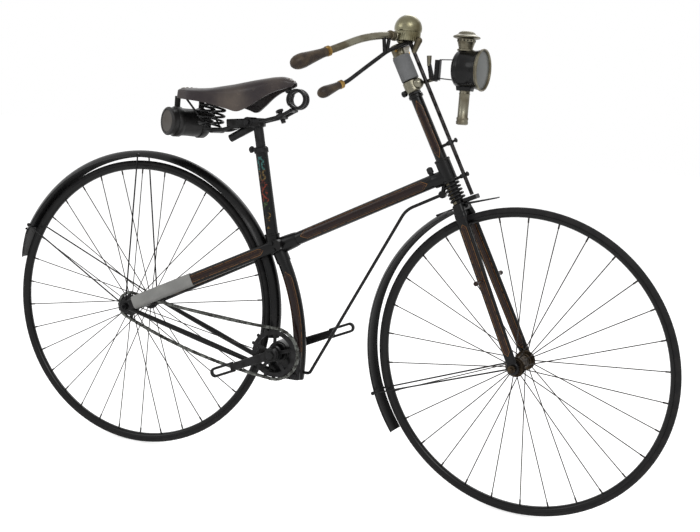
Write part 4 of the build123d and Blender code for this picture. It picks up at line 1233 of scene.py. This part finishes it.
lampPiece("lampDrum", lampCentre, lampWay, "drum", 72, blackPaint, "black_enamel", ["lamp_body"])
lampPiece("lampRing", lampCentre, lampWay, "ring", 80, nickel, "nickel", ["lamp_rim"], caps=False)
lampPiece("lampGlass", lampCentre, lampWay, "glass", 64, lampGlass, "nickel", [])
lampPiece("lampChimney", chimneyFoot, upWay, "chimney", 56, nickel, "nickel", ["lamp_chimney"])
# Dark discs on the chimney: painted shade standing in for the dark inside of its holes
holeShadeDiscs = Gather()
for x, y in circle(lamp["holeShadeDiscs"]):
    out = np.array([x, y, 0])
    drum(holeShadeDiscs, chimneyFoot + (out * lamp["holeReach"] + upWay * lamp["holeRise"]) * mm, out, 0.5, 2.0, 10, 0.2)
holeShadeDiscs.build("chimneyHoleShadeDiscs", "steering", rubber, "black_enamel")
lampPiece("candleTube", candleTop, upWay, "candle", 44, nickel, "nickel", ["lamp_candle_tube"])
lampBox = Gather()
boxEnds = (boxAt + upWay * rise * mm for rise in lamp["box"])
beam(lampBox, *boxEnds, roundedBox(30, 40, 4, 24), frontSide, (1.0, 0.88))
lampBox.build("lampBox", "steering", blackPaint, "black_enamel")

# Bracket: the clamp on the stem, an arm to the socket's plate, two flat arms to the lamp and the wedge's lever
bracketSizes = {
    "plate": (-63, -6), "plateHalf": 24, "arms": (-25, 19), "lever": ((-76, -28), (-88, 27)),
    "armStart": (725, 10, 1013), "armRadius": 4.6,
}


def byLamp(run, rise):
    return lampCentre + (lampWay * run + upWay * rise) * mm


lampClamp = Gather()
collar(lampClamp, *(steered(up) for up in stem["clamp"]), stem["clampRadius"], 36, 3)
lampClamp.grid(lathe(steered(242, 20, -4), frontAhead, ballProfile(13, 14, 16), 28))
plateRun, plateRise = bracketSizes["plate"]
armEnds = [turned(spot(*bracketSizes["armStart"])),
           byLamp(plateRun - 2, plateRise - bracketSizes["plateHalf"] + 4)]
bar(lampClamp, armEnds, bracketSizes["armRadius"], 18)
(lowRun, lowRise), (highRun, highRise) = bracketSizes["lever"]
bar(lampClamp, [byLamp(highRun + 2, highRise - 24), byLamp(highRun, highRise)], (5.0, 6.0), 18)
lampClamp.build("lampClamp", "steering", nickel, "nickel", ["lamp_bracket"])
plates = Gather()
plateHalf = bracketSizes["plateHalf"]
flats = [
    # start, end, outline, scale at the ends
    ((plateRun, plateRise - plateHalf), (plateRun, plateRise + plateHalf), roundedBox(18, 12, 3, 24), 1.0),
    ((plateRun, lowRise - 1), (lowRun - 3, lowRise + 2), roundedBox(14, 9, 3, 20), 1.0),
    ((lowRun, lowRise), (highRun + 2, highRise - 20), roundedBox(14, 15, 4, 20), (0.8, 0.6)),
]
flats += [((-58, rise), (-8, rise * 1.1), roundedBox(12, 2.6, 1, 12), 1.0) for rise in bracketSizes["arms"]]
for start, end, outline, scale in flats:
    beam(plates, byLamp(*start), byLamp(*end), outline, frontSide, scale)
drum(plates, steered(232, -22, -8), frontAhead, 6, 7.5, 12, 2)
bar(plates, [steered(233, -14, -8), steered(232, -18, -8)], 3.5, 12)
plates.build("lampPlates", "steering", blackPaint, "black_enamel")
print("bell and lamp made")

# Saddle: across, half an ellipse from shoulder to shoulder and a straight skirt below it; the table runs along it
saddle = {
    # place ahead, half width, heights of the top, the shoulder and the skirt
    "sections": (
        (110, 72, 957, 949, 936), (116, 82, 961, 951, 933), (128, 88, 962.5, 951, 932),
        (150, 92, 963, 950, 931), (185, 89, 966.5, 949, 928), (215, 82, 973, 950, 923),
        (247, 71, 980.5, 951, 916), (275, 60, 988, 955, 911), (303, 46, 995, 964, 928),
        (330, 35, 1001, 975, 950), (353, 28.5, 1005, 983, 965), (375, 24, 1006, 990, 974),
        (392, 18, 1001, 990, 980), (402, 12, 995, 989, 985),
    ),
    "rearRivets": ((118, -60), (116, -36), (115, -12), (115, 12), (116, 36), (118, 60)),
    "thickness": 4.5, "rows": 110, "skirtColumns": 8, "topColumns": 40,
}


def saddleSurface():
    table = curveThrough(saddle["sections"], saddle["rows"])
    x, half, top, shoulder, skirt = (table[:, [k]] for k in range(5))
    down = np.linspace(0, 1, saddle["skirtColumns"], endpoint=False)[None]
    angle = np.linspace(-np.pi / 2, np.pi / 2, saddle["topColumns"] + 1)[None]
    skirtZ = skirt + (shoulder - skirt) * down
    flare = half * (1 + 0.03 * (1 - down))
    arcY, arcZ = half * np.sin(angle), shoulder + (top - shoulder) * np.cos(angle) ** 0.9
    y = np.concatenate([-flare, arcY, flare[:, ::-1]], 1)
    z = np.concatenate([skirtZ, arcZ, skirtZ[:, ::-1]], 1)
    return groundUnderHub + np.stack([x + 0 * y, y, z], -1) * mm


surface = saddleSurface()
normal = np.cross(np.gradient(surface, axis=0), np.gradient(surface, axis=1))
normal /= np.linalg.norm(normal, axis=-1, keepdims=True)
normal *= np.sign(normal[len(normal) // 2, normal.shape[1] // 2, 2])
inside = surface - normal * saddle["thickness"] * mm
shell = np.concatenate([surface, inside[:, ::-1]], 1)
Gather().grid(shell).build("saddleTop", "root", saddleLeather, "saddle_leather", ["saddle_leather"], sharp=60)
rivets = Gather()
fromGround = (surface - groundUnderHub) / mm
for x, y in saddle["rearRivets"]:
    # the nearest point of the leather that is above the shoulder
    away = np.abs(surface[:, :, 1] / mm - y) + np.abs(fromGround[:, :, 0] - x)
    row, place = divmod(np.argmin(away + 1e3 * (fromGround[:, :, 2] < 948)), surface.shape[1])
    drum(rivets, surface[row, place], normal[row, place], 1.4, 5.0, 20, 0.9)
for x in (386, 396):
    for y in (-6, 6):
        drum(rivets, spot(x, y, 1001 - (x - 386) * 0.5), upWay, 2.2, 3.6, 18, 0.8)
rivets.build("saddleRivets", "root", agedBrass, "saddle_leather")
print("saddle made")

# Under frame: bar and arms at the back, rails, bolt and cross bar at the nose
under = {
    "rails": ((172, 30, 858), (215, 30, 860), (250, 17, 872), (300, 17, 884), (372, 17, 906), (402, 17, 924)),
    "railRadius": 4.5, "cantle": (124, 79, 940), "cantleRadius": 5, "arms": (30, 204),
    "cups": (936, 862), "foot": (191, 858), "bolt": ((362, 0, 923), (378, 0, 891)), "nose": (389, 970),
}
underFrame = Gather()
x, y, z = under["cantle"]
cantleShape = ((4, -1), (0, -0.7), (-4, 0), (0, 0.7), (4, 1))  # millimetres ahead, share of the half width
cantleKeys = [spot(x + ahead, y * share, z) for ahead, share in cantleShape]
bar(underFrame, curveThrough(cantleKeys, 24), under["cantleRadius"], 18)
for side in (-1, 1):
    armSide, armEnd = under["arms"]
    bar(underFrame, [spot(x, side * armSide, z), spot(armEnd, side * armSide, z - 2)], 4.5, 16)
    for cupZ in under["cups"]:
        drum(underFrame, spot(182, side * armSide, cupZ), upWay, 2.5, 14, 28, 1)
    railKeys = [spot(px, side * py, pz) for px, py, pz in under["rails"]]
    bar(underFrame, bentPath(railKeys, (10, 12, 10, 14)), under["railRadius"], 18)
    bar(underFrame, [spot(x + 2, side * 66, z), spot(x + 22, side * 50, z - 30), spot(182, side * 34, 866)], 2.6, 12)
noseX, noseZ = under["nose"]
bar(underFrame, [spot(noseX, -19, noseZ), spot(noseX, 19, noseZ)], 5, 18)
bar(underFrame, [spot(noseX - 1, 0, noseZ), spot(noseX - 2, 0, 998)], 5, 18)
bar(underFrame, [spot(402, -19, 924), spot(402, 19, 924)], 5, 18)
footX, footZ = under["foot"]
bar(underFrame, [spot(footX, -34, footZ), spot(footX, 34, footZ)], 7, 20)
boltLow, boltHigh = (spot(*place) for place in under["bolt"])
bar(underFrame, [boltLow, boltHigh], 6, 20)
collar(underFrame, boltLow, boltLow + unit(boltHigh - boltLow) * 7 * mm, 10, 6, 1)
beam(underFrame, spot(372, -19, 906), spot(372, 19, 906), roundedBox(16, 14, 4, 20), (1, 0, 0.3))
underFrame.build("underFrame", "root", blackSteel, "black_enamel", ["saddle_frame"])

# Clamp on the post: box, round block with its nuts, tail and collar
clampSizes = {
    "box": ((230, 0, 877), (318, 0, 888)), "block": (287, 886), "radius": 13, "half": 26,
    "tail": ((306, 884), (232, 840)), "tailRadii": (11, 10), "collar": (-14, 4), "collarRadius": 17,
}
saddleClamp = Gather()
blockX, blockZ = clampSizes["block"]
boxBack, boxFront = (spot(*place) for place in clampSizes["box"])
beam(saddleClamp, boxBack, boxFront, roundedBox(50, 25, 5, 24), across, (1.0, 0.86))
drum(saddleClamp, spot(blockX, 0, blockZ), across, clampSizes["half"], clampSizes["radius"], 32, 2)
drum(saddleClamp, spot(blockX, 0, blockZ), across, clampSizes["half"] + 8, 8, 6, 1)
(x, z), (endX, endZ) = clampSizes["tail"]
bar(saddleClamp, [spot(x, 0, z), spot(endX, 0, endZ)], clampSizes["tailRadii"], 28)
collarEnds = (postTop + seatWay * rise * mm for rise in clampSizes["collar"])
collar(saddleClamp, *collarEnds, clampSizes["collarRadius"], 32, 2)
saddleClamp.build("saddleClamp", "root", blackSteel, "black_enamel", ["saddle_clamp"])

# Saddle springs: round wire along helices, upright behind and level at the nose
springs = {
    "rearWire": 3.2, "rearRadii": (14, 19, 20, 20, 19, 14), "rearTurns": 4.6, "rear": (174, 30, 864.5, 934.5),
    "frontWire": 4.2, "frontRadius": 22.3, "frontTurns": 2.2, "front": (412, 9, 952.4), "frontHalf": 5.4,
}
coil = Gather()
x, y, low, high = springs["rear"]
for side in (-1, 1):
    line = helix(spot(x - 4, side * y, low), spot(x + 2, side * y, high),
                 springs["rearRadii"], springs["rearTurns"], 240)
    coil.grid(sweep(line, circle(10) * springs["rearWire"] * mm, reference=(0, 0, 1)))
coil.build("rearCoils", "root", blackPaint, "spring_steel", ["rear_springs"])
coil = Gather()
x, y, z = springs["front"]
half = across * springs["frontHalf"] * mm
for side in (-1, 1):
    centre = spot(x, side * y, z)
    line = helix(centre - half, centre + half, (springs["frontRadius"],),
                 springs["frontTurns"], 150, phase=2.4)
    coil.grid(sweep(line, circle(12) * springs["frontWire"] * mm, reference=across))
coil.build("frontCoils", "root", blackPaint, "spring_steel", ["front_springs"])
print("saddle springs made")

# Tool bag: a turned drum with rounded ends, a sewn end disc, and two straps up to the back bar
bag = {
    "centre": (99.8, 0, 872), "radius": 37, "length": 113, "turn": 34, "strapHalf": 8, "straps": (-28, 42),
    "strapTop": 938, "buckleTurn": 0.25, "buckleWire": 1.5,
}
bagTurn = math.radians(bag["turn"])
bagWay = np.array([math.sin(bagTurn), math.cos(bagTurn), 0])
bagCentre = spot(*bag["centre"])
halfLong, bagRadius = bag["length"] / 2, bag["radius"]
bagEdge = ((2, -7), (0, -5.5), (0.6, -2.4), (3, -0.4), (6, 0), (9, -0.8))  # from the end and from the radius
ends = [(-halfLong + 2, 0.5)] + [(-halfLong + run, bagRadius + rise) for run, rise in bagEdge]
bodyRuns = np.linspace(-halfLong + 12, halfLong - 12, 16)
body = [(run, bagRadius - 1.0 - 0.5 * math.cos(run * 0.11)) for run in bodyRuns]
profile = ends + body + [(-run, radius) for run, radius in reversed(ends)]
toolBag = Gather().grid(lathe(bagCentre, bagWay, profile, 72))
toolBag.build("toolBag", "root", bagLeather, "bag_leather", ["tool_bag"])
endDisc = Gather()
drum(endDisc, bagCentre - bagWay * (halfLong - 2.4) * mm, bagWay, 1.2, bagRadius - 8.5, 48, 0.8)
endDisc.build("bagEndDisc", "root", bagEnd, "bag_leather")
straps = Gather()
strapEdge = bag["strapHalf"]
strapProfile = [(-strapEdge, -0.6), (-strapEdge, 1.8), (0.6 - strapEdge, 2.2)]
strapProfile += [(-run, rise) for run, rise in reversed(strapProfile)]
strapRises = (bagRadius - 1, bag["strapTop"] - bag["centre"][2])
strapOutline = roundedBox(2 * strapEdge, 3.2, 1, 16)
for place in bag["straps"]:
    centre = bagCentre + bagWay * place * mm
    straps.grid(lathe(centre, bagWay, [(run, bagRadius + rise) for run, rise in strapProfile], 64))
    beam(straps, *(centre + upWay * rise * mm for rise in strapRises), strapOutline, bagWay)
straps.build("bagStraps", "root", bagLeather, "bag_leather", ["bag_straps"])
buckles = Gather()
backWay = np.cross(upWay, bagWay)
buckleWay = backWay * math.cos(bag["buckleTurn"]) + upWay * math.sin(bag["buckleTurn"])
spread = np.cross(bagWay, buckleWay)
wire = circle(10) * bag["buckleWire"] * mm
for place in bag["straps"]:
    centre = bagCentre + (bagWay * place + buckleWay * (bagRadius + 3.4)) * mm
    ringPath = np.array([centre + (bagWay * u * 11 + spread * v * 8) * mm
                         for u, v in ((-1, -1), (1, -1), (1, 1), (-1, 1))])
    buckles.grid(sweep(ringPath, wire, 1.0, buckleWay, closed=True), wrapRows=True)
buckles.build("bagBuckles", "root", agedBrass, "bag_leather")
print("bag made")
